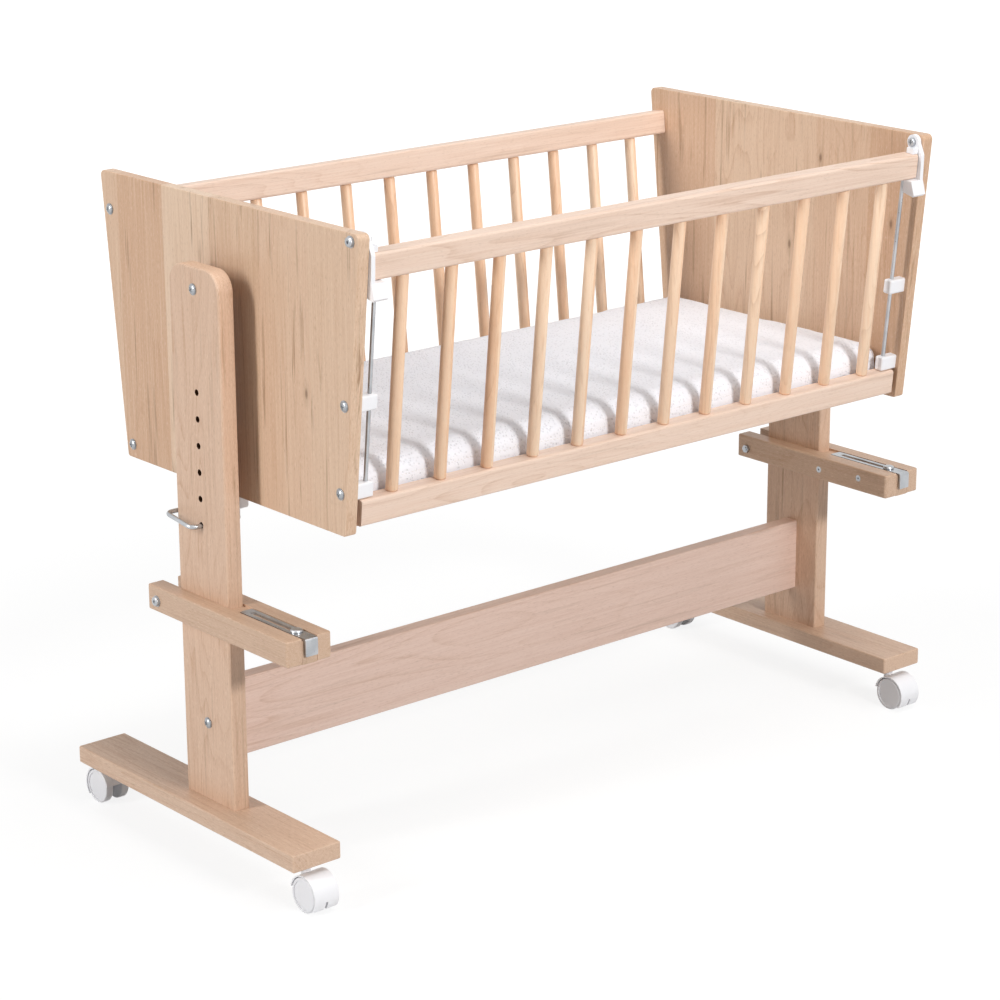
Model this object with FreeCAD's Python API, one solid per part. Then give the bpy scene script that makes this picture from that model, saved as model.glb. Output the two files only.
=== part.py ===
"""Bedside sleeper crib on a wheeled stand: every piece is a solid of its own.

Lengths are in mm and angles in degrees. X runs along the crib, Y points away from the parents'
bed and Z points up from the floor. The parts are laid out with Y = 0 in the middle of the posts;
save_all() then moves them together so that the origin lies under the middle of the whole crib.
"right" is the +X end and "left" is its mirror image.

The crib body hangs between two posts on two pull-out pins. Its end panels are trapezoids, so the
front and back frames lean outwards by the same angle. The frames are drawn upright in a plane of
their own, where y is the depth in from the panel edge and z the height along the slope.
"""
import FreeCAD
import Part
import math
import os

from FreeCAD import Vector

# Crib body: the end panels set the length inside and the slope of both sides
INNER_LENGTH = 904.0
PANEL_THICK = 16.0
PANEL_HEIGHT = 356.5
PANEL_BOTTOM_DEPTH = 444.0
PANEL_TOP_DEPTH = 516.0
PANEL_TOP_R = 7.0
PANEL_BOTTOM_R = 4.0
PANEL_ARRIS = 1.2

# Rails of both side frames, in the sloping plane
RAIL_TALL = 32.0
RAIL_THICK = 22.0
RAIL_EDGE_R = 3.5
FRONT_RAIL_INSET = 1.0
BACK_RAIL_INSET = 3.0
FRONT_RAIL_GAP = 7.0
FRONT_BOTTOM_LIFT = 7.2
BACK_BOTTOM_LIFT = 0.2
FRONT_TOP_DROP = 24.8
BACK_TOP_DROP = 32.1

# Spindles, spaced evenly between two end gaps
SPINDLE_COUNT = 12
SPINDLE_R = 7.5
SPINDLE_END_GAP = 58.2
SPINDLE_NECK = 3.0
PEG_R = 5.0
PEG_DEEP = 12.0

# Drop side: steel rods that run in blocks on the end panels
GUIDE_ROD_R = 2.5
GUIDE_ROD_IN = 19.0
GUIDE_ROD_SUNK = 10.0
GUIDE_BLOCK_LONG = 27.0
GUIDE_BLOCK_DEEP = 13.0
GUIDE_BLOCK_TALL = 19.0
GUIDE_BLOCK_R = 2.5
GUIDE_MID_LIFT = 155.3
GUIDE_LOW_GAP = 0.5
RUNNING_FIT = 0.05
PART_GAP = 0.3

# Swing latches that hold the drop side up
LATCH_PLATE = 5.7
LATCH_HEAD_R = 9.5
LATCH_PIVOT_IN = 14.0
LATCH_PIVOT_DROP = 11.0
LATCH_LUG_LONG = 9.0
LATCH_LUG_DEEP = 11.0
LATCH_LUG_TALL = 7.0
LATCH_FOOT_LONG = 21.7
LATCH_FOOT_TALL = 20.0
LATCH_FOOT_NOSE = 12.0
LATCH_ARM_FRONT = 5.2
LATCH_NECK_FRONT = 3.0
LATCH_ROD_GAP = 0.6
LATCH_RAIL_GAP = 0.5
LATCH_EDGE_R = 1.2
LATCH_STUD_R = 3.0
LATCH_STUD_HEAD_R = 5.5
LATCH_STUD_HEAD = 4.0

# Mattress and the board that it lies on
MATTRESS_SIDE_GAP = 2.0
MATTRESS_FRONT_GAP = 24.0
MATTRESS_TALL = 50.0
MATTRESS_CORNER_R = 28.0
MATTRESS_CROWN = 5.0
MATTRESS_EDGE_R = 18.0
MATTRESS_LOW_R = 8.0
BOARD_THICK = 6.0
BOARD_FRONT_GAP = 25.0
BATTEN_TALL = 12.2
BATTEN_WIDE = 22.0
BATTEN_ARRIS = 1.0

# Stand: feet, posts and stretcher
CASTER_TALL = 57.0
FOOT_LONG = 460.0
FOOT_WIDE = 70.0
FOOT_THICK = 22.0
FOOT_BACKSET = 26.0
FOOT_CORNER_R = 2.5
FOOT_ARRIS_R = 2.0
STAND_GAP = 2.5
POST_TALL = 665.0
POST_WIDE = 100.0
POST_THICK = 22.0
POST_TOP_R = 25.0
POST_ARRIS_R = 2.5
STRETCHER_TALL = 100.0
STRETCHER_THICK = 21.0
STRETCHER_LIFT = 50.5
STRETCHER_ARRIS_R = 2.0

# Height setting: a column of holes in each post and a bent wire pin
HOLE_COUNT = 6
HOLE_PITCH = 32.6
TOP_HOLE_DROP = 150.4
PIN_R = 2.8
PIN_HOLE_R = 3.8
PIN_TILT = 7.0
PIN_BEND_R = 8.0
PIN_INNER_END = 6.0
PIN_STAND_OFF = 14.0
PIN_BACK_GAP = 0.7
PIN_BACK_LEG = 24.0
SADDLE_LONG = 14.0
SADDLE_HALF_WIDE = 15.0
SADDLE_OVER_PIN = 28.7
SADDLE_TALL = 15.0
SADDLE_FOOT_LONG = 7.5
SADDLE_FOOT_HALF = 5.0
SADDLE_CORNER_R = 2.0
SADDLE_LOW_R = 3.0

# Channels on the end panels that slide over a bush on each post
CHANNEL_DEEP = 19.5
CHANNEL_HALF_WIDE = 11.0
CHANNEL_BASE = 3.0
CHANNEL_WALL = 2.0
CHANNEL_ABOVE = 5.0
BUSH_SIDE_GAP = 0.4
BUSH_LONG = 18.0
GUIDE_BOLT_DROP = 26.5

# Clamp arms that reach under the parents' bed
ARM_LIFT = 229.0
ARM_TALL = 32.0
ARM_THICK = 21.0
ARM_FRONT = 145.0
ARM_BACK = 37.0
ARM_NOSE_R = 4.0
ARM_ARRIS_R = 2.0
ARM_BOLT_BEHIND = 20.0
ARM_BOLT_DROP = 18.0
BLOCK_CHAMFER = 0.7
ARM_SCREW_SPOTS = ((20.0, 18.0), (94.0, 14.0))

# Bed hooks: a slotted strap with a bent lip, its bolt and wing nut
STRAP_WIDE = 17.5
STRAP_SUNK = 3.0
STRAP_CORNER_R = 1.5
STRAP_THICK = 2.5
STRAP_BACK = 20.0
STRAP_NOSE_GAP = 2.0
STRAP_LIP = 21.5
STRAP_BEND_R = 3.0
SLOT_START = 35.0
CLAMP_BOLT_BEHIND = 25.0
CLAMP_BOLT_R = 3.0
CLAMP_HEAD_R = 7.5
CLAMP_HEAD_TALL = 3.4
HAND_NUT_R = 11.0
HAND_NUT_TALL = 5.5
HAND_NUT_EDGE = 0.8
HAND_NUT_FLUTES = 12
HAND_NUT_FLUTE_R = 1.6

# Twin wheel casters
WHEEL_R = 22.0
WHEEL_WIDE = 11.0
WHEEL_GAP = 0.5
WHEEL_TREAD_R = 2.0
WHEEL_DISH = 1.0
HOOD_WEB = 12.0
HOOD_WALL = 1.8
HOOD_TO_WHEEL = 1.0
HOOD_LOW_ANGLE = -40.0
HOOD_REAR_ANGLE = 168.0
HOOD_NOTCH_WIDE = 3.0
HOOD_NOTCH_TALL = 11.0
AXLE_R = 3.0
AXLE_LONG = 8.5
STEM_R = 3.5
STEM_TRAIL = 17.0
STEM_OVER_AXLE = 10.0
STEM_BOSS_R = 5.9
STEM_SUNK = 15.0
STEM_COLLAR_R = 10.0
STEM_COLLAR_TALL = 2.0
STEM_FROM_FRONT = 24.0
STEM_FROM_BACK = 28.0

# Machine bolts: shank, pan head, washer and nut
BOLT_R = 3.0
BOLT_HOLE_R = 3.2
BOLT_HEAD_R = 6.0
BOLT_HEAD_TALL = 3.5
BOLT_RECESS_R = 1.9
BOLT_RECESS_DEEP = 2.0
WASHER_R = 7.0
WASHER_TALL = 1.0
NUT_ACROSS = 10.0
NUT_TALL = 4.5
RAIL_BOLT_DEEP = 45.0
STRETCHER_BOLT_DEEP = 50.0
GUIDE_SCREW_DEEP = 12.0

# Countersunk wood screws
SCREW_R = 2.2
SCREW_HEAD_R = 4.4
FOOT_SCREW_DEEP = 40.0
FOOT_SCREW_SPREAD = 30.0
ARM_SCREW_DEEP = 15.0
CHANNEL_SCREW_DEEP = 11.0
CHANNEL_SCREW_IN = 40.0
SADDLE_SCREW_DEEP = 16.0
SADDLE_SCREW_OUT = 9.6
SADDLE_SCREW_SUNK = 14.0

# Places that follow from the sizes above
SLOPE = math.degrees(math.atan2((PANEL_TOP_DEPTH - PANEL_BOTTOM_DEPTH) / 2, PANEL_HEIGHT))
SLOPE_LONG = math.hypot((PANEL_TOP_DEPTH - PANEL_BOTTOM_DEPTH) / 2, PANEL_HEIGHT)
PANEL_IN = INNER_LENGTH / 2
PANEL_OUT = PANEL_IN + PANEL_THICK
STAND_IN = PANEL_OUT + STAND_GAP
POST_IN = STAND_IN + ARM_THICK
POST_OUT = POST_IN + POST_THICK
ARM_OUT = POST_OUT + ARM_THICK
POST_MID = (POST_IN + POST_OUT) / 2
FOOT_MID = STAND_IN + FOOT_WIDE / 2
FOOT_TOP = CASTER_TALL + FOOT_THICK
FOOT_FRONT = FOOT_BACKSET - FOOT_LONG / 2
FOOT_BACK = FOOT_BACKSET + FOOT_LONG / 2
POST_TOP = FOOT_TOP + POST_TALL
PIN_Z = POST_TOP - TOP_HOLE_DROP - (HOLE_COUNT - 1) * HOLE_PITCH
WIRE_Z = PIN_Z - PIN_HOLE_R + PIN_R + PART_GAP
CRIB_BOTTOM = PIN_Z + SADDLE_OVER_PIN
GUIDE_BOLT_Z = POST_TOP - GUIDE_BOLT_DROP
LIFT_TRAVEL = (HOLE_COUNT - 1) * HOLE_PITCH
STRETCHER_BOLT_Z = FOOT_TOP + STRETCHER_LIFT + STRETCHER_TALL / 2
ARM_BOTTOM = FOOT_TOP + ARM_LIFT
ARM_TOP = ARM_BOTTOM + ARM_TALL
BLOCK_TOP = ARM_TOP - STRAP_SUNK
ARM_NOSE_Y = -POST_WIDE / 2 - ARM_FRONT
CLAMP_BOLT_Y = ARM_NOSE_Y + CLAMP_BOLT_BEHIND
FRONT_TOP_LIFT = SLOPE_LONG - FRONT_TOP_DROP - RAIL_TALL
BACK_TOP_LIFT = SLOPE_LONG - BACK_TOP_DROP - RAIL_TALL
GUIDE_LOW_LIFT = FRONT_BOTTOM_LIFT + RAIL_TALL + GUIDE_LOW_GAP + GUIDE_BLOCK_TALL / 2
FRONT_AXIS_IN = FRONT_RAIL_INSET + RAIL_THICK / 2
BACK_AXIS_IN = BACK_RAIL_INSET + RAIL_THICK / 2
ROD_X = PANEL_IN - GUIDE_ROD_IN
LATCH_PIVOT_LIFT = SLOPE_LONG - LATCH_PIVOT_DROP
SPINDLE_PITCH = (INNER_LENGTH - 2 * SPINDLE_END_GAP) / (SPINDLE_COUNT - 1)
SPINDLE_XS = [SPINDLE_END_GAP - PANEL_IN + SPINDLE_PITCH * i for i in range(SPINDLE_COUNT)]

STEM_LOW = WHEEL_R + STEM_OVER_AXLE
STEM_YS = (FOOT_FRONT + STEM_FROM_FRONT, FOOT_BACK - STEM_FROM_BACK)
FOOT_SCREW_SPOTS = [(POST_MID, side * FOOT_SCREW_SPREAD, CASTER_TALL) for side in (-1, 1)]
ARM_BOLT_Y = POST_WIDE / 2 + ARM_BOLT_BEHIND
ARM_BOLT_Z = ARM_TOP - ARM_BOLT_DROP
ARM_SCREW_POINTS = [(STAND_IN, -POST_WIDE / 2 - ahead, ARM_TOP - drop)
                    for ahead, drop in ARM_SCREW_SPOTS]
BUSH_R = CHANNEL_HALF_WIDE - CHANNEL_WALL - BUSH_SIDE_GAP
CHANNEL_SCREW_POINTS = [(PANEL_OUT + CHANNEL_BASE, 0, z) for z in
                        (GUIDE_BOLT_Z - CHANNEL_SCREW_IN,
                         GUIDE_BOLT_Z - LIFT_TRAVEL + CHANNEL_SCREW_IN)]
SADDLE_SCREW_POINTS = [(PANEL_IN + PANEL_THICK / 2, side * SADDLE_SCREW_OUT,
                        CRIB_BOTTOM - SADDLE_SCREW_SUNK) for side in (-1, 1)]
CROWN_STEPS = ((20.0, 0.3), (28.0, 0.5), (42.0, 0.7), (70.0, 0.87), (110.0, 0.96), (160.0, 1.0))

ALONG_X = Vector(1, 0, 0)
ALONG_Y = Vector(0, 1, 0)
ALONG_Z = Vector(0, 0, 1)

nodes = {}


# Basic solids

def box(x0, x1, y0, y1, z0, z1):
    return Part.makeBox(x1 - x0, y1 - y0, z1 - z0, Vector(x0, y0, z0))


def bar(radius, start, length, direction):
    return Part.makeCylinder(radius, length, Vector(*start), direction)


def edges_along(shape, direction):
    """The straight edges that run parallel to a direction."""
    found = []
    for edge in shape.Edges:
        if edge.Curve.TypeId == "Part::GeomLine":
            if abs(abs(edge.tangentAt(edge.FirstParameter).dot(direction)) - 1) < 1e-6:
                found.append(edge)
    return found


def rounded_bar(x0, x1, y0, y1, z0, z1, direction, radius):
    """A bar whose four edges along one direction are rounded."""
    solid = box(x0, x1, y0, y1, z0, z1)
    return solid.makeFillet(radius, edges_along(solid, direction))


def fuse(shapes):
    return shapes[0].multiFuse(shapes[1:]).removeSplitter()


def cut(shape, tools):
    return shape.cut(Part.makeCompound(tools))


def profile(points, direction, length):
    """A plate from a closed outline of points."""
    face = Part.Face(Part.makePolygon([Vector(*p) for p in points] + [Vector(*points[0])]))
    return face.extrude(direction * length)


def mirror_x(shape):
    return shape.mirror(Vector(0, 0, 0), ALONG_X)


def mirror_y(shape):
    return shape.mirror(Vector(0, 0, 0), ALONG_Y)


def both_ends(shapes):
    """The right end's pieces and their mirror images, as one node."""
    return Part.makeCompound(shapes + [mirror_x(s) for s in shapes])


def add_pair(name, right):
    nodes[name + "_right"] = right
    nodes[name + "_left"] = mirror_x(right)


def front_frame(shape):
    """From the upright plane of a side frame to its place on the front slope."""
    placed = shape.copy()
    placed.rotate(Vector(0, 0, 0), ALONG_X, SLOPE)
    placed.translate(Vector(0, -PANEL_BOTTOM_DEPTH / 2, CRIB_BOTTOM))
    return placed


def back_frame(shape):
    return mirror_y(front_frame(shape))


def slope_point(depth, lift):
    """Y and Z on the front slope, for a depth in from the panel edge and a height along it."""
    lean = math.radians(SLOPE)
    y = -PANEL_BOTTOM_DEPTH / 2 - lift * math.sin(lean) + depth * math.cos(lean)
    z = CRIB_BOTTOM + lift * math.cos(lean) + depth * math.sin(lean)
    return y, z


# Fasteners, all drawn along an inward direction from the face under the washer

def pan_bolt(start, inward, depth):
    """Pan head bolt with a washer; start is the centre of the washer's seat."""
    start = Vector(*start)
    head_base = start - inward * WASHER_TALL
    washer = Part.makeCylinder(WASHER_R, WASHER_TALL, head_base, inward)
    head = Part.makeCylinder(BOLT_HEAD_R, BOLT_HEAD_TALL, head_base - inward * BOLT_HEAD_TALL, inward)
    rim = [e for e in head.Edges if e.BoundBox.Center.distanceToPoint(
        head_base - inward * BOLT_HEAD_TALL) < 1e-3]
    head = head.makeFillet(BOLT_HEAD_TALL * 0.5, rim)
    recess = Part.makeCylinder(BOLT_RECESS_R, BOLT_RECESS_DEEP,
                               head_base - inward * BOLT_HEAD_TALL, inward)
    shank = Part.makeCylinder(BOLT_R, depth + WASHER_TALL, head_base, inward)
    return fuse([washer, head.cut(recess), shank])


def flat_screw(start, inward, depth):
    """Countersunk screw; start is the centre of its flush head."""
    start = Vector(*start)
    cone_tall = SCREW_HEAD_R - SCREW_R
    cone = Part.makeCone(SCREW_HEAD_R, SCREW_R, cone_tall, start, inward)
    shank = Part.makeCylinder(SCREW_R, depth, start, inward)
    recess = Part.makeCylinder(SCREW_R * 0.6, cone_tall * 0.8, start, inward)
    return fuse([cone, shank]).cut(recess)


def flat_screw_hole(start, inward, depth):
    start = Vector(*start)
    cone = Part.makeCone(SCREW_HEAD_R, SCREW_R, SCREW_HEAD_R - SCREW_R, start, inward)
    return cone.fuse(Part.makeCylinder(SCREW_R, depth, start, inward))


def hex_nut(start, direction):
    """Hexagon nut whose seat is centred on start."""
    reach = NUT_ACROSS / math.sqrt(3)
    side = direction.cross(ALONG_Z)
    if side.Length < 0.5:
        side = ALONG_X
    up = direction.cross(side)
    points = []
    for corner in range(6):
        turn = math.radians(60 * corner)
        points.append(Vector(*start) + side * (reach * math.cos(turn)) + up * (reach * math.sin(turn)))
    face = Part.Face(Part.makePolygon(points + [points[0]]))
    return face.extrude(direction * NUT_TALL)


# Stand

def foot():
    solid = rounded_bar(STAND_IN, STAND_IN + FOOT_WIDE, FOOT_FRONT, FOOT_BACK,
                        CASTER_TALL, FOOT_TOP, ALONG_Z, FOOT_CORNER_R)
    rims = [e for e in solid.Edges if e.BoundBox.ZLength < 0.01]
    solid = solid.makeFillet(FOOT_ARRIS_R, rims)
    holes = [bar(STEM_R, (FOOT_MID, y, CASTER_TALL), STEM_SUNK, ALONG_Z) for y in STEM_YS]
    holes += [flat_screw_hole(p, ALONG_Z, FOOT_THICK) for p in FOOT_SCREW_SPOTS]
    return cut(solid, holes)


def post():
    blank = box(POST_IN, POST_OUT, -POST_WIDE / 2, POST_WIDE / 2, FOOT_TOP, POST_TOP)
    tops = [e for e in edges_along(blank, ALONG_X) if e.BoundBox.ZMax > POST_TOP - 1]
    solid = blank.makeFillet(POST_TOP_R, tops)
    rims = [e for e in solid.Edges
            if e.BoundBox.XLength < 0.01 and e.BoundBox.ZMax > FOOT_TOP + 1]
    solid = solid.makeFillet(POST_ARRIS_R, rims)
    holes = [bar(PIN_HOLE_R, (POST_IN, 0, PIN_Z + HOLE_PITCH * i), POST_THICK, ALONG_X)
             for i in range(HOLE_COUNT)]
    for z in (GUIDE_BOLT_Z, STRETCHER_BOLT_Z):
        holes.append(bar(BOLT_HOLE_R, (POST_IN, 0, z), POST_THICK, ALONG_X))
    for x, y, z in FOOT_SCREW_SPOTS:
        holes.append(bar(SCREW_R, (x, y, FOOT_TOP), FOOT_SCREW_DEEP, ALONG_Z))
    return cut(solid, holes)


def stretcher():
    bottom = FOOT_TOP + STRETCHER_LIFT
    solid = rounded_bar(-POST_IN, POST_IN, -STRETCHER_THICK / 2, STRETCHER_THICK / 2,
                        bottom, bottom + STRETCHER_TALL, ALONG_X, STRETCHER_ARRIS_R)
    bores = [bar(BOLT_R, (side * POST_IN, 0, STRETCHER_BOLT_Z), STRETCHER_BOLT_DEEP, ALONG_X * -side)
             for side in (-1, 1)]
    return cut(solid, bores)


def arm_rail(inner_face, holes):
    solid = box(inner_face, inner_face + ARM_THICK, ARM_NOSE_Y, POST_WIDE / 2 + ARM_BACK,
                ARM_BOTTOM, ARM_TOP)
    far = inner_face + ARM_THICK if inner_face > POST_MID else inner_face
    nose = [e for e in edges_along(solid, ALONG_Z)
            if abs(e.BoundBox.XMin - far) < 0.1 and e.BoundBox.YMin < ARM_NOSE_Y + 1]
    solid = solid.makeFillet(ARM_NOSE_R, nose)
    rims = [e for e in solid.Edges if abs(e.BoundBox.XMin - far) < ARM_NOSE_R + 0.1
            and e.BoundBox.ZLength < 0.01 and abs(e.BoundBox.XMax - far) < ARM_NOSE_R + 0.1]
    solid = solid.makeFillet(ARM_ARRIS_R, rims)
    return cut(solid, holes)


def arm_block():
    """Filler between the two rails; its top lies lower, so the strap runs in a groove."""
    solid = box(POST_IN, POST_OUT, ARM_NOSE_Y, -POST_WIDE / 2, ARM_BOTTOM, BLOCK_TOP)
    nose = [e for e in edges_along(solid, ALONG_Z) if e.BoundBox.YMax < ARM_NOSE_Y + 1]
    solid = solid.makeChamfer(BLOCK_CHAMFER, nose)
    holes = [bar(BOLT_HOLE_R, (POST_MID, CLAMP_BOLT_Y, ARM_BOTTOM), ARM_TALL, ALONG_Z)]
    for _, y, z in ARM_SCREW_POINTS:
        holes.append(bar(SCREW_R, (POST_IN, y, z), ARM_SCREW_DEEP, ALONG_X))
    return cut(solid, holes)


def arm_bolt():
    """Draws the two rails of an arm together behind the post."""
    span = ARM_OUT - STAND_IN
    bolt = pan_bolt((ARM_OUT, ARM_BOLT_Y, ARM_BOLT_Z), -ALONG_X, span + NUT_TALL + 1.0)
    nut = hex_nut((STAND_IN, ARM_BOLT_Y, ARM_BOLT_Z), -ALONG_X)
    return fuse([bolt, nut])


def clamp_bolt():
    """Carriage bolt that holds a hook strap down on the arm's block."""
    seat = BLOCK_TOP + STRAP_THICK + 2 * PART_GAP
    head = Part.makeCylinder(CLAMP_HEAD_R, CLAMP_HEAD_TALL, Vector(POST_MID, CLAMP_BOLT_Y, seat))
    top = [e for e in head.Edges if e.BoundBox.ZMin > seat + CLAMP_HEAD_TALL - 0.01]
    head = head.makeFillet(CLAMP_HEAD_TALL * 0.8, top)
    low = ARM_BOTTOM - PART_GAP - HAND_NUT_TALL
    shank = bar(CLAMP_BOLT_R, (POST_MID, CLAMP_BOLT_Y, low), seat - low, ALONG_Z)
    return fuse([head, shank])


def guide_bush():
    solid = bar(BUSH_R, (POST_IN - BUSH_LONG, 0, GUIDE_BOLT_Z), BUSH_LONG, ALONG_X)
    rim = [e for e in solid.Edges if e.BoundBox.XMax < POST_IN - BUSH_LONG + 0.01]
    solid = solid.makeFillet(1.0, rim)
    return solid.cut(bar(BOLT_R, (POST_IN - BUSH_LONG, 0, GUIDE_BOLT_Z), BUSH_LONG, ALONG_X))



def build_stand():
    add_pair("foot", foot())
    add_pair("post", post())
    nodes["stretcher"] = stretcher()
    through = bar(BOLT_HOLE_R, (STAND_IN, ARM_BOLT_Y, ARM_BOLT_Z), ARM_OUT - STAND_IN, ALONG_X)
    screws = [flat_screw_hole(p, ALONG_X, ARM_THICK) for p in ARM_SCREW_POINTS]
    add_pair("arm_outer_rail", arm_rail(POST_OUT, [through]))
    add_pair("arm_inner_rail", arm_rail(STAND_IN, [through] + screws))
    add_pair("arm_block", arm_block())
    foot_screws = [flat_screw(p, ALONG_Z, FOOT_THICK + FOOT_SCREW_DEEP) for p in FOOT_SCREW_SPOTS]
    arm_screws = [flat_screw(p, ALONG_X, ARM_THICK + ARM_SCREW_DEEP) for p in ARM_SCREW_POINTS]
    nodes["stand_screws"] = both_ends(foot_screws + arm_screws)
    nodes["stretcher_bolts"] = both_ends([pan_bolt((POST_OUT, 0, STRETCHER_BOLT_Z), -ALONG_X,
                                                   POST_THICK + STRETCHER_BOLT_DEEP)])
    nodes["guide_bolts"] = both_ends([pan_bolt((POST_OUT, 0, GUIDE_BOLT_Z), -ALONG_X,
                                               POST_THICK + BUSH_LONG)])
    nodes["guide_bushes"] = both_ends([guide_bush()])
    nodes["arm_bolts"] = both_ends([arm_bolt()])
    nodes["clamp_bolts"] = both_ends([clamp_bolt()])
    nodes["caster_stems"] = both_ends([caster_stem(y) for y in STEM_YS])


# Casters

def ring_point(radius, angle, way):
    """A point around the axle; 0 degrees is level on the trailing side, 90 is straight up."""
    turn = math.radians(angle)
    return Vector(0, way * radius * math.cos(turn), radius * math.sin(turn))


def sector(outer, inner, half_wide, way):
    """Part of a ring around the axle, or of a disc when inner is 0, between the hood's two ends."""
    low, mid, high = HOOD_LOW_ANGLE, (HOOD_LOW_ANGLE + HOOD_REAR_ANGLE) / 2, HOOD_REAR_ANGLE
    rim = Part.Arc(*[ring_point(outer, a, way) for a in (low, mid, high)]).toShape()
    if inner > 0:
        back = [Part.Arc(*[ring_point(inner, a, way) for a in (high, mid, low)]).toShape()]
        ends = [Part.makeLine(ring_point(outer, high, way), ring_point(inner, high, way)),
                Part.makeLine(ring_point(inner, low, way), ring_point(outer, low, way))]
    else:
        back = []
        ends = [Part.makeLine(ring_point(outer, high, way), Vector(0, 0, 0)),
                Part.makeLine(Vector(0, 0, 0), ring_point(outer, low, way))]
    face = Part.Face(Part.Wire([rim, ends[0]] + back + [ends[1]]))
    face.translate(Vector(-half_wide, 0, 0))
    return face.extrude(ALONG_X * (2 * half_wide))


def caster_stem(y):
    foot_end = bar(STEM_R, (FOOT_MID, y, STEM_LOW), CASTER_TALL + STEM_SUNK - STEM_LOW, ALONG_Z)
    collar = bar(STEM_COLLAR_R, (FOOT_MID, y, CASTER_TALL - STEM_COLLAR_TALL),
                 STEM_COLLAR_TALL, ALONG_Z)
    return fuse([foot_end, collar])


def caster_hood(stem_y, way):
    """Hood, web, boss and axle in one moulding; the axle trails the stem to one side."""
    outer = WHEEL_R + HOOD_TO_WHEEL + HOOD_WALL
    shell = sector(outer, outer - HOOD_WALL, HOOD_WEB / 2 + WHEEL_GAP + WHEEL_WIDE, way)
    web = sector(outer - HOOD_WALL / 2, 0, HOOD_WEB / 2, way)
    hub = bar(AXLE_R + HOOD_WALL, (-HOOD_WEB / 2, 0, 0), HOOD_WEB, ALONG_X)
    axle = bar(AXLE_R, (-HOOD_WEB / 2 - AXLE_LONG, 0, 0), HOOD_WEB + 2 * AXLE_LONG, ALONG_X)
    boss_top = CASTER_TALL - STEM_COLLAR_TALL - PART_GAP - WHEEL_R
    boss_low = STEM_LOW - WHEEL_R
    boss = bar(STEM_BOSS_R, (0, -way * STEM_TRAIL, boss_low), boss_top - boss_low, ALONG_Z)
    bore = bar(STEM_R + RUNNING_FIT, (0, -way * STEM_TRAIL, boss_low - 1.0),
               boss_top - boss_low + 1.0, ALONG_Z)
    notch_low = outer * math.sin(math.radians(HOOD_LOW_ANGLE))
    notch = box(-HOOD_NOTCH_WIDE / 2, HOOD_NOTCH_WIDE / 2, min(0, way * outer * 1.2),
                max(0, way * outer * 1.2), notch_low - 1, notch_low + HOOD_NOTCH_TALL)
    notch = notch.cut(bar(outer - 4 * HOOD_WALL, (-HOOD_WEB, 0, 0), 2 * HOOD_WEB, ALONG_X))
    hood = cut(fuse([shell, web, hub, axle, boss]), [bore, notch])
    hood.translate(Vector(FOOT_MID, stem_y + way * STEM_TRAIL, WHEEL_R))
    return hood


def caster_wheel(stem_y, way, side):
    """One of the twin wheels: side is +1 for the wheel on the crib's outer side."""
    inner_face = HOOD_WEB / 2 + WHEEL_GAP
    tyre = bar(WHEEL_R, (inner_face, 0, 0), WHEEL_WIDE, ALONG_X)
    tyre = tyre.makeFillet(WHEEL_TREAD_R, [e for e in tyre.Edges if e.BoundBox.XLength < 0.01])
    dish = bar(WHEEL_R - 2 * WHEEL_TREAD_R, (inner_face + WHEEL_WIDE - WHEEL_DISH, 0, 0),
               WHEEL_DISH, ALONG_X)
    bore = bar(AXLE_R + RUNNING_FIT, (inner_face, 0, 0), AXLE_LONG - WHEEL_GAP + PART_GAP, ALONG_X)
    wheel = cut(tyre, [dish, bore])
    if side < 0:
        wheel = mirror_x(wheel)
    wheel.translate(Vector(FOOT_MID, stem_y + way * STEM_TRAIL, WHEEL_R))
    return wheel


def build_casters():
    for name, stem_y, way in (("front", STEM_YS[0], -1), ("back", STEM_YS[1], 1)):
        add_pair("caster_hood_" + name, caster_hood(stem_y, way))
        add_pair("wheel_" + name + "_outer", caster_wheel(stem_y, way, 1))
        add_pair("wheel_" + name + "_inner", caster_wheel(stem_y, way, -1))


# Bed hooks and height pins

def hook_strap():
    low = BLOCK_TOP + PART_GAP
    high = low + STRAP_THICK
    back = -POST_WIDE / 2 - STRAP_BACK
    lip_back = ARM_NOSE_Y - STRAP_NOSE_GAP
    lip_front = lip_back - STRAP_THICK
    half = STRAP_WIDE / 2
    flat = box(POST_MID - half, POST_MID + half, lip_front, back, low, high)
    lip = box(POST_MID - half, POST_MID + half, lip_front, lip_back, high - STRAP_LIP, high)
    strap = fuse([flat, lip])
    bend = [e for e in edges_along(strap, ALONG_X)
            if e.BoundBox.YMin < lip_front + 0.01 and e.BoundBox.ZMin > high - 0.01]
    strap = strap.makeFillet(STRAP_BEND_R, bend)
    corners = [e for e in edges_along(strap, ALONG_Z) if e.BoundBox.YMin > back - 0.01]
    corners += [e for e in edges_along(strap, ALONG_Y) if e.BoundBox.ZMax < high - STRAP_LIP + 0.01]
    strap = strap.makeFillet(STRAP_CORNER_R, corners)
    slot_r = CLAMP_BOLT_R + PART_GAP
    ends = (CLAMP_BOLT_Y, -POST_WIDE / 2 - SLOT_START)
    slot = [bar(slot_r, (POST_MID, y, low), STRAP_THICK, ALONG_Z) for y in ends]
    slot.append(box(POST_MID - slot_r, POST_MID + slot_r, ends[0], ends[1], low, high))
    return strap.cut(fuse(slot))


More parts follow.
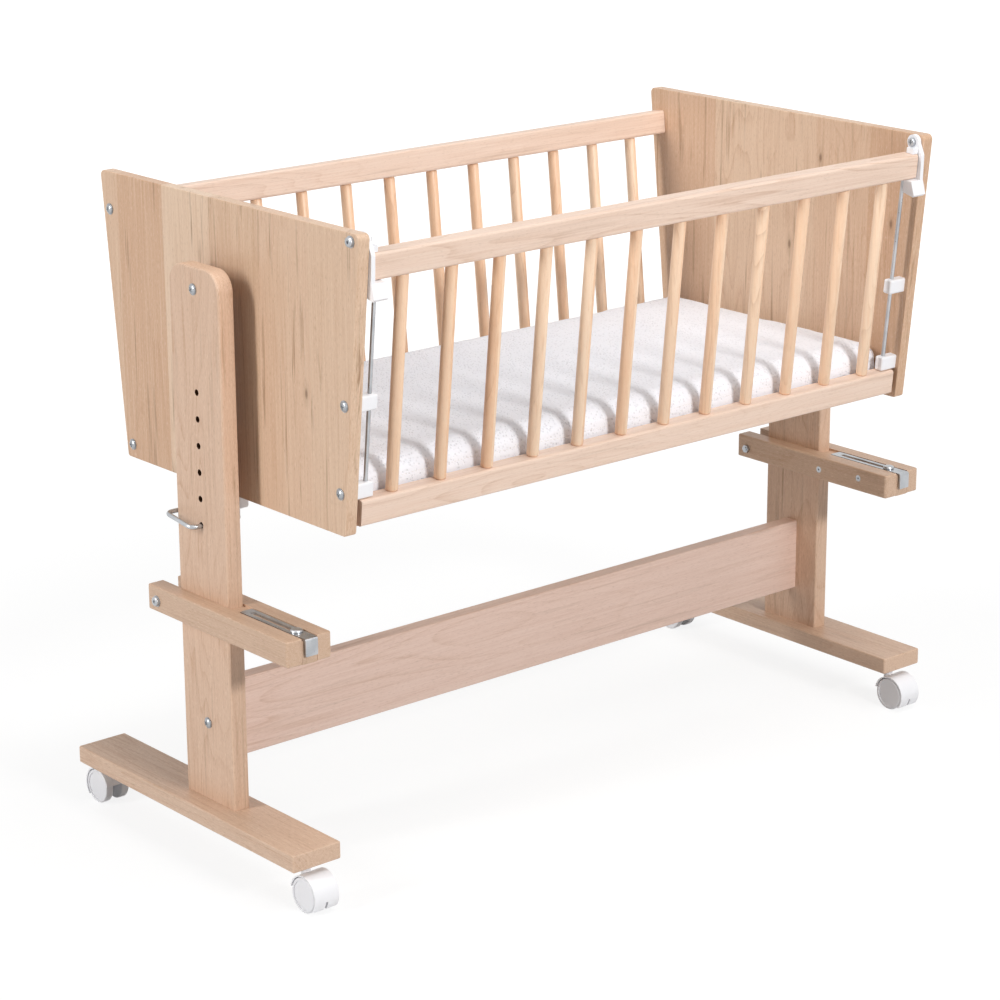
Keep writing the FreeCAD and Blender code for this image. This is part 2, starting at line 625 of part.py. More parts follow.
def hand_nut():
    """Low fluted nut under the arm that clamps the strap, turned with the fingers."""
    body = bar(HAND_NUT_R, (0, 0, -HAND_NUT_TALL), HAND_NUT_TALL, ALONG_Z)
    body = body.makeChamfer(HAND_NUT_EDGE, [e for e in body.Edges if e.BoundBox.ZLength < 0.01])
    cuts = [bar(CLAMP_BOLT_R + RUNNING_FIT, (0, 0, -HAND_NUT_TALL), HAND_NUT_TALL, ALONG_Z)]
    for flute in range(HAND_NUT_FLUTES):
        turn = math.radians(360 * flute / HAND_NUT_FLUTES)
        centre = (HAND_NUT_R * math.cos(turn), HAND_NUT_R * math.sin(turn), -HAND_NUT_TALL)
        cuts.append(bar(HAND_NUT_FLUTE_R, centre, HAND_NUT_TALL, ALONG_Z))
    nut = cut(body, cuts)
    nut.translate(Vector(POST_MID, CLAMP_BOLT_Y, ARM_BOTTOM - PART_GAP))
    return nut


def height_pin():
    """Round wire bent to a hairpin: one leg through the post, one behind it, a little higher."""
    out = POST_OUT + PIN_STAND_OFF
    back = POST_WIDE / 2 + PIN_R + PIN_BACK_GAP
    low_bend = PIN_BEND_R * (1 - math.sqrt(0.5))
    points = [Vector(PANEL_IN + PIN_INNER_END, 0, WIRE_Z),
              Vector(out - PIN_BEND_R, 0, WIRE_Z),
              Vector(out - low_bend, low_bend, WIRE_Z),
              Vector(out, PIN_BEND_R, WIRE_Z),
              Vector(out, back - PIN_BEND_R, WIRE_Z),
              Vector(out - low_bend, back - low_bend, WIRE_Z),
              Vector(out - PIN_BEND_R, back, WIRE_Z),
              Vector(out - PIN_BACK_LEG, back, WIRE_Z)]
    path = Part.Wire([Part.makeLine(points[0], points[1]),
                      Part.Arc(points[1], points[2], points[3]).toShape(),
                      Part.makeLine(points[3], points[4]),
                      Part.Arc(points[4], points[5], points[6]).toShape(),
                      Part.makeLine(points[6], points[7])])
    section = Part.Wire(Part.makeCircle(PIN_R, points[0], ALONG_X))
    pin = path.makePipeShell([section], True, False)
    tips = [e for e in pin.Edges if e.BoundBox.XLength < 0.01 and e.BoundBox.YLength > PIN_R]
    pin = pin.makeChamfer(PIN_R / 4, tips)
    pin.rotate(Vector(0, 0, WIRE_Z), ALONG_X, PIN_TILT)
    return pin


# Crib body

def end_panel(holes):
    low = PANEL_BOTTOM_DEPTH / 2
    high = PANEL_TOP_DEPTH / 2
    top = CRIB_BOTTOM + PANEL_HEIGHT
    blank = profile([(PANEL_IN, -low, CRIB_BOTTOM), (PANEL_IN, low, CRIB_BOTTOM),
                     (PANEL_IN, high, top), (PANEL_IN, -high, top)], ALONG_X, PANEL_THICK)
    across = edges_along(blank, ALONG_X)
    blank = blank.makeFillet(PANEL_TOP_R, [e for e in across if e.BoundBox.ZMax > top - 1])
    across = [e for e in edges_along(blank, ALONG_X) if e.BoundBox.ZMax < CRIB_BOTTOM + 1]
    blank = blank.makeFillet(PANEL_BOTTOM_R, across)
    rims = [e for e in blank.Edges if e.BoundBox.XLength < 0.01]
    return cut(blank.makeFillet(PANEL_ARRIS, rims), holes)


def frame_rail(half_long, inset, lift, axis_in, sockets_up, holes):
    """A rail of a side frame in its upright plane, with a socket for each spindle."""
    rail = rounded_bar(-half_long, half_long, inset, inset + RAIL_THICK,
                       lift, lift + RAIL_TALL, ALONG_X, RAIL_EDGE_R)
    face = lift + RAIL_TALL if sockets_up else lift
    into = -ALONG_Z if sockets_up else ALONG_Z
    sockets = [bar(PEG_R, (x, axis_in, face), PEG_DEEP, into) for x in SPINDLE_XS]
    return cut(rail, sockets + holes)


def spindle(x, axis_in, low, high):
    body = bar(SPINDLE_R, (x, axis_in, low), high - low, ALONG_Z)
    body = body.makeFillet(SPINDLE_NECK - 1, [e for e in body.Edges if e.BoundBox.ZLength < 0.01])
    peg = bar(PEG_R, (x, axis_in, low - PEG_DEEP), high - low + 2 * PEG_DEEP, ALONG_Z)
    return fuse([body, peg])


def build_front_frame():
    half = PANEL_IN - FRONT_RAIL_GAP
    low_face = FRONT_BOTTOM_LIFT + RAIL_TALL
    low_holes = [bar(GUIDE_ROD_R, (x, FRONT_AXIS_IN, low_face), GUIDE_ROD_SUNK, -ALONG_Z)
                 for x in (-ROD_X, ROD_X)]
    top_holes = [bar(GUIDE_ROD_R, (x, FRONT_AXIS_IN, FRONT_TOP_LIFT), GUIDE_ROD_SUNK, ALONG_Z)
                 for x in (-ROD_X, ROD_X)]
    nodes["front_bottom_rail"] = front_frame(frame_rail(
        half, FRONT_RAIL_INSET, FRONT_BOTTOM_LIFT, FRONT_AXIS_IN, True, low_holes))
    nodes["front_top_rail"] = front_frame(frame_rail(
        half, FRONT_RAIL_INSET, FRONT_TOP_LIFT, FRONT_AXIS_IN, False, top_holes))
    nodes["front_spindles"] = front_frame(Part.makeCompound(
        [spindle(x, FRONT_AXIS_IN, low_face, FRONT_TOP_LIFT) for x in SPINDLE_XS]))
    rod_long = FRONT_TOP_LIFT - low_face + 2 * GUIDE_ROD_SUNK
    nodes["guide_rods"] = front_frame(Part.makeCompound(
        [bar(GUIDE_ROD_R, (x, FRONT_AXIS_IN, low_face - GUIDE_ROD_SUNK), rod_long, ALONG_Z)
         for x in (-ROD_X, ROD_X)]))


def build_back_frame():
    low_face = BACK_BOTTOM_LIFT + RAIL_TALL
    for name, lift, up in (("back_bottom_rail", BACK_BOTTOM_LIFT, True),
                           ("back_top_rail", BACK_TOP_LIFT, False)):
        bores = [bar(BOLT_R, (side * PANEL_IN, BACK_AXIS_IN, lift + RAIL_TALL / 2),
                     RAIL_BOLT_DEEP, ALONG_X * -side) for side in (-1, 1)]
        nodes[name] = back_frame(frame_rail(PANEL_IN, BACK_RAIL_INSET, lift, BACK_AXIS_IN, up, bores))
    nodes["back_spindles"] = back_frame(Part.makeCompound(
        [spindle(x, BACK_AXIS_IN, low_face, BACK_TOP_LIFT) for x in SPINDLE_XS]))


def guide_block(lift):
    """Plastic block on the end panel, bored for the rod and for its screw."""
    half_deep = GUIDE_BLOCK_DEEP / 2
    half_tall = GUIDE_BLOCK_TALL / 2
    block = rounded_bar(PANEL_IN - GUIDE_BLOCK_LONG, PANEL_IN, FRONT_AXIS_IN - half_deep,
                        FRONT_AXIS_IN + half_deep, lift - half_tall, lift + half_tall,
                        ALONG_X, GUIDE_BLOCK_R)
    nose = [e for e in edges_along(block, ALONG_Z) if e.BoundBox.XMax < PANEL_IN - 1]
    block = block.makeFillet(GUIDE_BLOCK_R, nose)
    rod = bar(GUIDE_ROD_R + RUNNING_FIT, (ROD_X, FRONT_AXIS_IN, lift - half_tall),
              GUIDE_BLOCK_TALL, ALONG_Z)
    screw = bar(BOLT_R, (PANEL_IN, FRONT_AXIS_IN, lift), GUIDE_SCREW_DEEP, -ALONG_X)
    return front_frame(cut(block, [rod, screw]))


def latch():
    """Plate beside the rail's end, with a foot that reaches under the rail in front of the rod."""
    outer = PANEL_IN - PART_GAP
    foot_back = FRONT_AXIS_IN - GUIDE_ROD_R - LATCH_ROD_GAP
    foot_top = FRONT_TOP_LIFT - LATCH_RAIL_GAP
    foot_low = foot_top - LATCH_FOOT_TALL
    head_front = LATCH_PIVOT_IN - LATCH_HEAD_R
    tip = -LATCH_FOOT_NOSE
    low_bevel = LATCH_FOOT_TALL * 0.15
    foot_outline = [(foot_back, foot_top), (-LATCH_ARM_FRONT, foot_top), (tip, foot_low + low_bevel),
                    (tip + low_bevel, foot_low), (foot_back - LATCH_ROD_GAP, foot_low + low_bevel),
                    (foot_back, foot_low + 2 * low_bevel)]
    plate_outline = [(LATCH_PIVOT_IN + LATCH_HEAD_R, LATCH_PIVOT_LIFT),
                     (head_front, LATCH_PIVOT_LIFT), (-LATCH_NECK_FRONT, FRONT_TOP_LIFT + RAIL_TALL)]
    plate_outline += foot_outline[1:]
    plate_outline.append((foot_back, foot_top))
    plate = profile([(outer - LATCH_PLATE, y, z) for y, z in plate_outline], ALONG_X, LATCH_PLATE)
    head = bar(LATCH_HEAD_R, (outer - LATCH_PLATE, LATCH_PIVOT_IN, LATCH_PIVOT_LIFT),
               LATCH_PLATE, ALONG_X)
    hook = profile([(outer - LATCH_FOOT_LONG, y, z) for y, z in foot_outline],
                   ALONG_X, LATCH_FOOT_LONG)
    hook = hook.makeFillet(LATCH_EDGE_R, [e for e in hook.Edges if abs(
        e.BoundBox.XMin - outer + LATCH_FOOT_LONG) < 0.01 and e.BoundBox.XLength < 0.01])
    bore = bar(LATCH_STUD_R + RUNNING_FIT, (outer - LATCH_PLATE, LATCH_PIVOT_IN, LATCH_PIVOT_LIFT),
               LATCH_PLATE, ALONG_X)
    lug_low = FRONT_TOP_LIFT + RAIL_TALL + LATCH_RAIL_GAP
    lug = box(outer - LATCH_PLATE - LATCH_LUG_LONG, outer, LATCH_PIVOT_IN + 1.0 - LATCH_LUG_DEEP,
              LATCH_PIVOT_IN + 1.0, lug_low, lug_low + LATCH_LUG_TALL)
    return front_frame(fuse([plate, head, hook, lug]).cut(bore))


def latch_stud():
    y, z = slope_point(LATCH_PIVOT_IN, LATCH_PIVOT_LIFT)
    reach = PANEL_THICK + 2 * PART_GAP + LATCH_PLATE
    bolt = pan_bolt((PANEL_OUT, y, z), -ALONG_X, reach)
    inner = PANEL_OUT - reach
    cap = bar(LATCH_STUD_HEAD_R, (inner - LATCH_STUD_HEAD, y, z), LATCH_STUD_HEAD, ALONG_X)
    rim = [e for e in cap.Edges if e.BoundBox.XMax < inner - LATCH_STUD_HEAD + 0.01]
    cap = cap.makeFillet(LATCH_STUD_HEAD / 3, rim)
    slots = [box(inner - LATCH_STUD_HEAD, inner - LATCH_STUD_HEAD / 2, y - across, y + across,
                 z - up, z + up) for across, up in ((3.0, 0.6), (0.6, 3.0))]
    return fuse([bolt, cap]).cut(fuse(slots))


def slide_channel():
    """Aluminium channel that slides over the bush on the post; its closed low end stops the lift."""
    high = GUIDE_BOLT_Z + CHANNEL_ABOVE
    low = GUIDE_BOLT_Z - LIFT_TRAVEL - CHANNEL_HALF_WIDE
    outer = box(PANEL_OUT, PANEL_OUT + CHANNEL_DEEP, -CHANNEL_HALF_WIDE, CHANNEL_HALF_WIDE, low, high)
    outer = outer.makeFillet(CHANNEL_WALL, edges_along(outer, ALONG_X))
    inside = CHANNEL_HALF_WIDE - CHANNEL_WALL
    trough = box(PANEL_OUT + CHANNEL_BASE, PANEL_OUT + CHANNEL_DEEP, -inside, inside,
                 low + CHANNEL_WALL, high)
    return cut(outer, [trough] + [flat_screw_hole(p, -ALONG_X, CHANNEL_BASE)
                                  for p in CHANNEL_SCREW_POINTS])


def pin_saddle():
    """Block under the end panel; its foot has a notch that sits over the pin."""
    inner = PANEL_OUT - SADDLE_LONG
    block_low = CRIB_BOTTOM - SADDLE_TALL
    block = rounded_bar(inner, PANEL_OUT, -SADDLE_HALF_WIDE, SADDLE_HALF_WIDE,
                        block_low, CRIB_BOTTOM, ALONG_Z, SADDLE_CORNER_R)
    rim = [e for e in block.Edges if e.BoundBox.ZMax < block_low + 0.01]
    block = block.makeFillet(SADDLE_LOW_R, rim)
    block = block.fuse(box(PANEL_OUT - SADDLE_FOOT_LONG, PANEL_OUT, -SADDLE_FOOT_HALF,
                           SADDLE_FOOT_HALF, WIRE_Z, block_low + SADDLE_LOW_R))
    notch = bar(PIN_R + PART_GAP, (inner, 0, WIRE_Z), SADDLE_LONG, ALONG_X)
    wells = []
    for x, y, z in SADDLE_SCREW_POINTS:
        wells.append(bar(SCREW_HEAD_R, (x, y, block_low), z - block_low, ALONG_Z))
        wells.append(flat_screw_hole((x, y, z), ALONG_Z, CRIB_BOTTOM - z))
    return cut(block, [notch] + wells).removeSplitter()


def rounded_outline(inset, z):
    """Outline of the mattress at one height: four lines and four quarter circles."""
    half_x = INNER_LENGTH / 2 - MATTRESS_SIDE_GAP - inset
    half_y = PANEL_BOTTOM_DEPTH / 2 - MATTRESS_FRONT_GAP - inset
    radius = max(MATTRESS_CORNER_R - inset, 4.0)
    diagonal = radius * (1 - math.sqrt(0.5))
    edges = []
    for turn in range(4):
        # Corner by corner, anticlockwise from +X +Y
        sx, sy = ((1, 1), (-1, 1), (-1, -1), (1, -1))[turn]
        corner = Vector(sx * half_x, sy * half_y, z)
        along_x = Vector(-sx * radius, 0, 0)
        along_y = Vector(0, -sy * radius, 0)
        middle = corner + Vector(-sx * diagonal, -sy * diagonal, 0)
        first, last = (corner + along_y, corner + along_x)
        if sx * sy < 0:
            first, last = last, first
        edges.append((first, middle, last))
    wire = []
    for turn in range(4):
        first, middle, last = edges[turn]
        wire.append(Part.Arc(first, middle, last).toShape())
        wire.append(Part.makeLine(last, edges[(turn + 1) % 4][0]))
    return Part.Wire(wire)


def mattress():
    """Soft pad: a full round along its top edge, a smaller one below and a crowned top."""
    low = CRIB_BOTTOM + BATTEN_TALL + BOARD_THICK
    rings = []
    for angle in (0, 30, 60, 90):
        turn = math.radians(angle)
        rings.append((MATTRESS_LOW_R * (1 - math.sin(turn)), low + MATTRESS_LOW_R * (1 - math.cos(turn))))
    shoulder = low + MATTRESS_TALL - MATTRESS_EDGE_R
    for angle in range(0, 76, 15):
        turn = math.radians(angle)
        rings.append((MATTRESS_EDGE_R * (1 - math.cos(turn)), shoulder + MATTRESS_EDGE_R * math.sin(turn)))
    crown_low = rings[-1][1]
    crown_rise = low + MATTRESS_TALL + MATTRESS_CROWN - crown_low
    for inset, share in CROWN_STEPS:
        rings.append((inset, crown_low + crown_rise * share))
    wires = [rounded_outline(inset, z) for inset, z in rings]
    return Part.makeLoft(wires, True, True)


def build_crib():
    bolts = {}
    for name, depth, lift in (("latch", LATCH_PIVOT_IN, LATCH_PIVOT_LIFT),
                              ("mid", FRONT_AXIS_IN, GUIDE_MID_LIFT),
                              ("low", FRONT_AXIS_IN, GUIDE_LOW_LIFT)):
        y, z = slope_point(depth, lift)
        bolts[name] = (PANEL_OUT, y, z)
    for name, lift in (("back_low", BACK_BOTTOM_LIFT), ("back_top", BACK_TOP_LIFT)):
        y, z = slope_point(BACK_AXIS_IN, lift + RAIL_TALL / 2)
        bolts[name] = (PANEL_OUT, -y, z)
    holes = [bar(BOLT_HOLE_R, p, PANEL_THICK, -ALONG_X) for p in bolts.values()]
    holes += [bar(SCREW_R, (PANEL_OUT, y, z), CHANNEL_SCREW_DEEP, -ALONG_X)
              for _, y, z in CHANNEL_SCREW_POINTS]
    holes += [bar(SCREW_R, (x, y, CRIB_BOTTOM), SADDLE_SCREW_DEEP, ALONG_Z)
              for x, y, _ in SADDLE_SCREW_POINTS]
    add_pair("end_panel", end_panel(holes))
    build_front_frame()
    build_back_frame()

    board_half = PANEL_BOTTOM_DEPTH / 2 - BOARD_FRONT_GAP
    board_low = CRIB_BOTTOM + BATTEN_TALL
    nodes["base_board"] = box(-PANEL_IN, PANEL_IN, -board_half, board_half,
                              board_low, board_low + BOARD_THICK)
    long_batten = rounded_bar(-PANEL_IN, PANEL_IN, -board_half, -board_half + BATTEN_WIDE,
                              CRIB_BOTTOM, board_low, ALONG_X, BATTEN_ARRIS)
    nodes["long_battens"] = Part.makeCompound([long_batten, mirror_y(long_batten)])
    end_half = board_half - BATTEN_WIDE
    nodes["end_battens"] = both_ends([rounded_bar(PANEL_IN - BATTEN_WIDE, PANEL_IN, -end_half, end_half,
                                                  CRIB_BOTTOM, board_low, ALONG_Y, BATTEN_ARRIS)])
    nodes["mattress"] = mattress()

    nodes["guide_blocks_mid"] = both_ends([guide_block(GUIDE_MID_LIFT)])
    nodes["guide_blocks_low"] = both_ends([guide_block(GUIDE_LOW_LIFT)])
    add_pair("latch", latch())
    nodes["latch_studs"] = both_ends([latch_stud()])
    guide_bolts = [pan_bolt(bolts[k], -ALONG_X, PANEL_THICK + GUIDE_SCREW_DEEP)
                   for k in ("mid", "low")]
    rail_bolts = [pan_bolt(bolts[k], -ALONG_X, PANEL_THICK + RAIL_BOLT_DEEP)
                  for k in ("back_low", "back_top")]
    nodes["panel_bolts"] = both_ends(guide_bolts + rail_bolts)
    nodes["slide_channels"] = both_ends([slide_channel()])
    nodes["pin_saddles"] = both_ends([pin_saddle()])
    channel_screws = [flat_screw(p, -ALONG_X, CHANNEL_BASE + CHANNEL_SCREW_DEEP)
                      for p in CHANNEL_SCREW_POINTS]
    saddle_screws = [flat_screw(p, ALONG_Z, SADDLE_SCREW_SUNK + SADDLE_SCREW_DEEP)
                     for p in SADDLE_SCREW_POINTS]
    nodes["crib_screws"] = both_ends(channel_screws + saddle_screws)


def save_all():
    whole = Part.makeCompound(list(nodes.values()))
    limits = whole.optimalBoundingBox(False, False)
    shift = Vector(-(limits.XMin + limits.XMax) / 2, -(limits.YMin + limits.YMax) / 2, -limits.ZMin)
    os.makedirs("parts", exist_ok=True)
    for name, shape in nodes.items():
        placed = shape.copy()
        placed.translate(shift)
        placed.exportStep("parts/" + name + ".step")
    print(len(nodes), "nodes, outline", limits, "moved by", shift)


build_stand()
build_casters()
add_pair("hook", hook_strap())
add_pair("hand_nut", hand_nut())
add_pair("pin", height_pin())
build_crib()
save_all()
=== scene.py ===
"""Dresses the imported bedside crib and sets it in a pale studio.

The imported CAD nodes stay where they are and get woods, metals and plastics. The spindles, the
screw heads and the mattress are made here and stand for their CAD nodes.
Everything is in metres in the frame of the CAD model; MM turns a size in millimetres into metres.
"""
import fnmatch
import math
import random

import bmesh
import bpy
from mathutils import Matrix, Vector


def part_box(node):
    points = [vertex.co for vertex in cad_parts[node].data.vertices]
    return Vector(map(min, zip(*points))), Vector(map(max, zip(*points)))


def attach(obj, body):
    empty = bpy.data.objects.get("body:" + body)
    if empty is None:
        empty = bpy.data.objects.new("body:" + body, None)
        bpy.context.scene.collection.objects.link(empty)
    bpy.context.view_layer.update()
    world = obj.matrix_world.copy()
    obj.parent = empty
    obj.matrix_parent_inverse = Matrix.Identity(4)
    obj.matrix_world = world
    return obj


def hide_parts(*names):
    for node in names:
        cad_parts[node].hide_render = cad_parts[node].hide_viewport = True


bl_info = {
    "name": "Bedside Crib Dresser",
    "version": (1, 0, 0),
    "blender": (4, 5, 0),
    "location": "3D View > Sidebar > Crib",
    "description": "Materials, spindles, screw heads, mattress and studio for a bedside crib",
    "category": "Object",
}

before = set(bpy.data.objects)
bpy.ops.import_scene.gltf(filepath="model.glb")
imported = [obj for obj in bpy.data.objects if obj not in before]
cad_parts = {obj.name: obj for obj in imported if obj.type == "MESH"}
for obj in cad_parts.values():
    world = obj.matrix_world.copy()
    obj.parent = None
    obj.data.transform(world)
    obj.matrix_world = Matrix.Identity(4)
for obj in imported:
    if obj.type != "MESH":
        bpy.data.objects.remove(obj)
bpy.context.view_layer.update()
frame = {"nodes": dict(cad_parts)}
MM = 0.001

# How far the CAD layout was moved so that its origin is under the middle of the outline
LAYOUT_Y = -3.66285 * MM

# Sizes that repeat those of the CAD model
PANEL_OUT = 468.0 * MM
POST_OUT = 513.5 * MM
SLOPE = math.atan2(36.0, 356.5)
CRIB_LOW = 459.3 * MM
HALF_DEPTH_LOW = 222.0 * MM
INNER_HALF = 452.0 * MM
SPINDLE_COUNT = 12
SPINDLE_END_GAP = 58.2 * MM
SPINDLE_PITCH = (2 * INNER_HALF - 2 * SPINDLE_END_GAP) / (SPINDLE_COUNT - 1)


def on_slope(depth, lift, side=-1):
    """Y and Z of a point on the front (-1) or back (+1) slope."""
    y = HALF_DEPTH_LOW + lift * math.sin(SLOPE) - depth * math.cos(SLOPE)
    z = CRIB_LOW + lift * math.cos(SLOPE) + depth * math.sin(SLOPE)
    return side * y + LAYOUT_Y, z


# ---------------------------------------------------------------- node helpers

MATH = "ShaderNodeMath"
MAP_RANGE = "ShaderNodeMapRange"
NOISE = "ShaderNodeTexNoise"


def linear(colour):
    """A hex sRGB colour as linear RGBA."""
    parts = [int(colour[i:i + 2], 16) / 255 for i in (1, 3, 5)]
    return [p / 12.92 if p <= 0.04045 else ((p + 0.055) / 1.055) ** 2.4 for p in parts] + [1.0]


def fill(tree, node, inputs):
    """Sets or links a node's inputs, given in socket order or by socket name or index.

    A list of sockets is linked one after the other, to an input that takes many.
    """
    rows = inputs.items() if isinstance(inputs, dict) else enumerate(inputs)
    for socket, value in rows:
        sources = value if isinstance(value, list) else [value]
        if isinstance(sources[0], bpy.types.NodeSocket):
            for source in sources:
                tree.links.new(source, node.inputs[socket])
        else:
            node.inputs[socket].default_value = value


def add(tree, kind, inputs=(), take=0, **settings):
    """Adds a node, sets it up, fills its inputs, and gives one output, or the node for None."""
    made = tree.nodes.new(kind)
    for key, value in settings.items():
        setattr(made, key, value)
    fill(tree, made, inputs)
    return made if take is None else made.outputs[take]


def tinted(tree, colour, layers):
    """Lays tints over a colour. Each grows from none to its share as its value goes low to high."""
    for value, low, high, share, tint in layers:
        factor = add(tree, MAP_RANGE, (value, low, high, 0.0, share))
        colour = add(tree, "ShaderNodeMix", {0: factor, 6: colour, 7: linear(tint)}, take=2,
                     data_type="RGBA")
    return colour


def new_material(name):
    """An empty material with its output and one principled shader, and its object coordinates."""
    material = bpy.data.materials.new(name)
    material.use_nodes = True
    tree = material.node_tree
    tree.nodes.clear()
    shader = add(tree, "ShaderNodeBsdfPrincipled", take=None)
    add(tree, "ShaderNodeOutputMaterial", (shader.outputs[0],), take=None)
    return material, tree, shader, add(tree, "ShaderNodeTexCoord", take="Object")


# ---------------------------------------------------------------- woods

# Tints of the figure: growth rings, mineral streaks, pores, red heartwood and knots, and the
# painted shade in the height holes
RING = "#b4845f"
VEIN = "#8c6543"
PORE = "#f2dccb"
RUDDY = "#cf9c7c"
KNOT = "#5f3f24"
HOLE_SHADE = "#4f3018"

# The cells of the grid of knots, in a metre over and down the grain
KNOTS_OVER = 9.0
KNOTS_DOWN = 3.6

# Where a joint between two staves of the end panels lies
STAVE_START = 26.0 * MM

# The row of height holes in a post: the lowest hole, their pitch and count, and the shade's reach
BORE_LOW = 430.6 * MM
BORE_PITCH = 32.6 * MM
BORE_COUNT = 6
BORE_REACH = 3.95 * MM

# Steps between the numbers of the left and right staves, and of the front and back spindles
SIDE_STEP = 37.0
ROW_STEP = 53.0

# The base colour's way from pale to dark, and how far along the log the pieces are cut, in metres
DARK_SHARE = 0.42
LOG_LONG = 7.0


def piece_number(tree, axes, across, deep, stave, cell, pair):
    """A whole number that changes from stave to stave, spindle to spindle or left to right."""
    if stave:
        past = add(tree, MATH, (axes[across], STAVE_START), operation="SUBTRACT")
        count = add(tree, MATH, (past, stave), operation="DIVIDE")
        side, step = axes[deep], SIDE_STEP
    elif cell:
        past = add(tree, MATH, (axes[0], cell), operation="DIVIDE")
        count = add(tree, MATH, (past, 0.5), operation="ADD")
        side, step = axes[1], ROW_STEP
    else:
        return add(tree, MATH, (axes[0],), operation="SIGN") if pair else 0.0
    whole = add(tree, MATH, (count,), operation="FLOOR")
    sign = add(tree, MATH, (side,), operation="SIGN")
    return add(tree, MATH, (sign, step, whole), operation="MULTIPLY_ADD")


def knot_layers(tree, wide, run):
    """Pin knots, about 5 mm wide and 12 mm tall, in some of the cells of a loose grid."""
    spot = add(tree, "ShaderNodeCombineXYZ", (
        add(tree, MATH, (wide, KNOTS_OVER), operation="MULTIPLY"),
        add(tree, MATH, (run, KNOTS_DOWN), operation="MULTIPLY")))
    cells = add(tree, "ShaderNodeTexVoronoi", {"Vector": spot, "Scale": 1.0}, take=None,
                voronoi_dimensions="2D").outputs
    red = add(tree, "ShaderNodeSeparateXYZ", (cells["Color"],))
    kept = add(tree, MAP_RANGE, (red, 0.58, 0.60))
    layers = []
    # A soft halo, then the core
    for far, near, share, tint in ((0.075, 0.015, 0.28, VEIN), (0.027, 0.010, 0.60, KNOT)):
        close = add(tree, MAP_RANGE, (cells["Distance"], far, near))
        blot = add(tree, MATH, (kept, close), operation="MULTIPLY")
        layers.append((blot, 0.0, 1.0, share, tint))
    return layers


def hole_shade_layer(tree, axes):
    """Painted shade in the height holes of the posts, darker than the lacquered face."""
    lift = add(tree, MATH, (axes[2], BORE_LOW), operation="SUBTRACT")
    count = add(tree, MATH, (lift, BORE_PITCH), operation="DIVIDE")
    step = add(tree, MATH, (count, 0.5), operation="ADD")
    part = add(tree, MATH, (step,), operation="FRACT")
    middle = add(tree, MATH, (part, 0.5), operation="SUBTRACT")
    up = add(tree, MATH, (middle, BORE_PITCH), operation="MULTIPLY")
    off = add(tree, MATH, (axes[1], LAYOUT_Y), operation="SUBTRACT")
    apart = add(tree, "ShaderNodeCombineXYZ", (up, off))
    reach = add(tree, "ShaderNodeVectorMath", (apart,), take="Value", operation="LENGTH")
    inside = add(tree, MATH, (reach, BORE_REACH), operation="LESS_THAN")
    # Only as many steps as there are holes
    half = BORE_COUNT / 2
    from_middle = add(tree, MATH, (step, half), operation="SUBTRACT")
    from_middle = add(tree, MATH, (from_middle,), operation="ABSOLUTE")
    in_row = add(tree, MATH, (from_middle, half), operation="LESS_THAN")
    return add(tree, MATH, (inside, in_row), operation="MULTIPLY"), 0.0, 1.0, 1.0, HOLE_SHADE


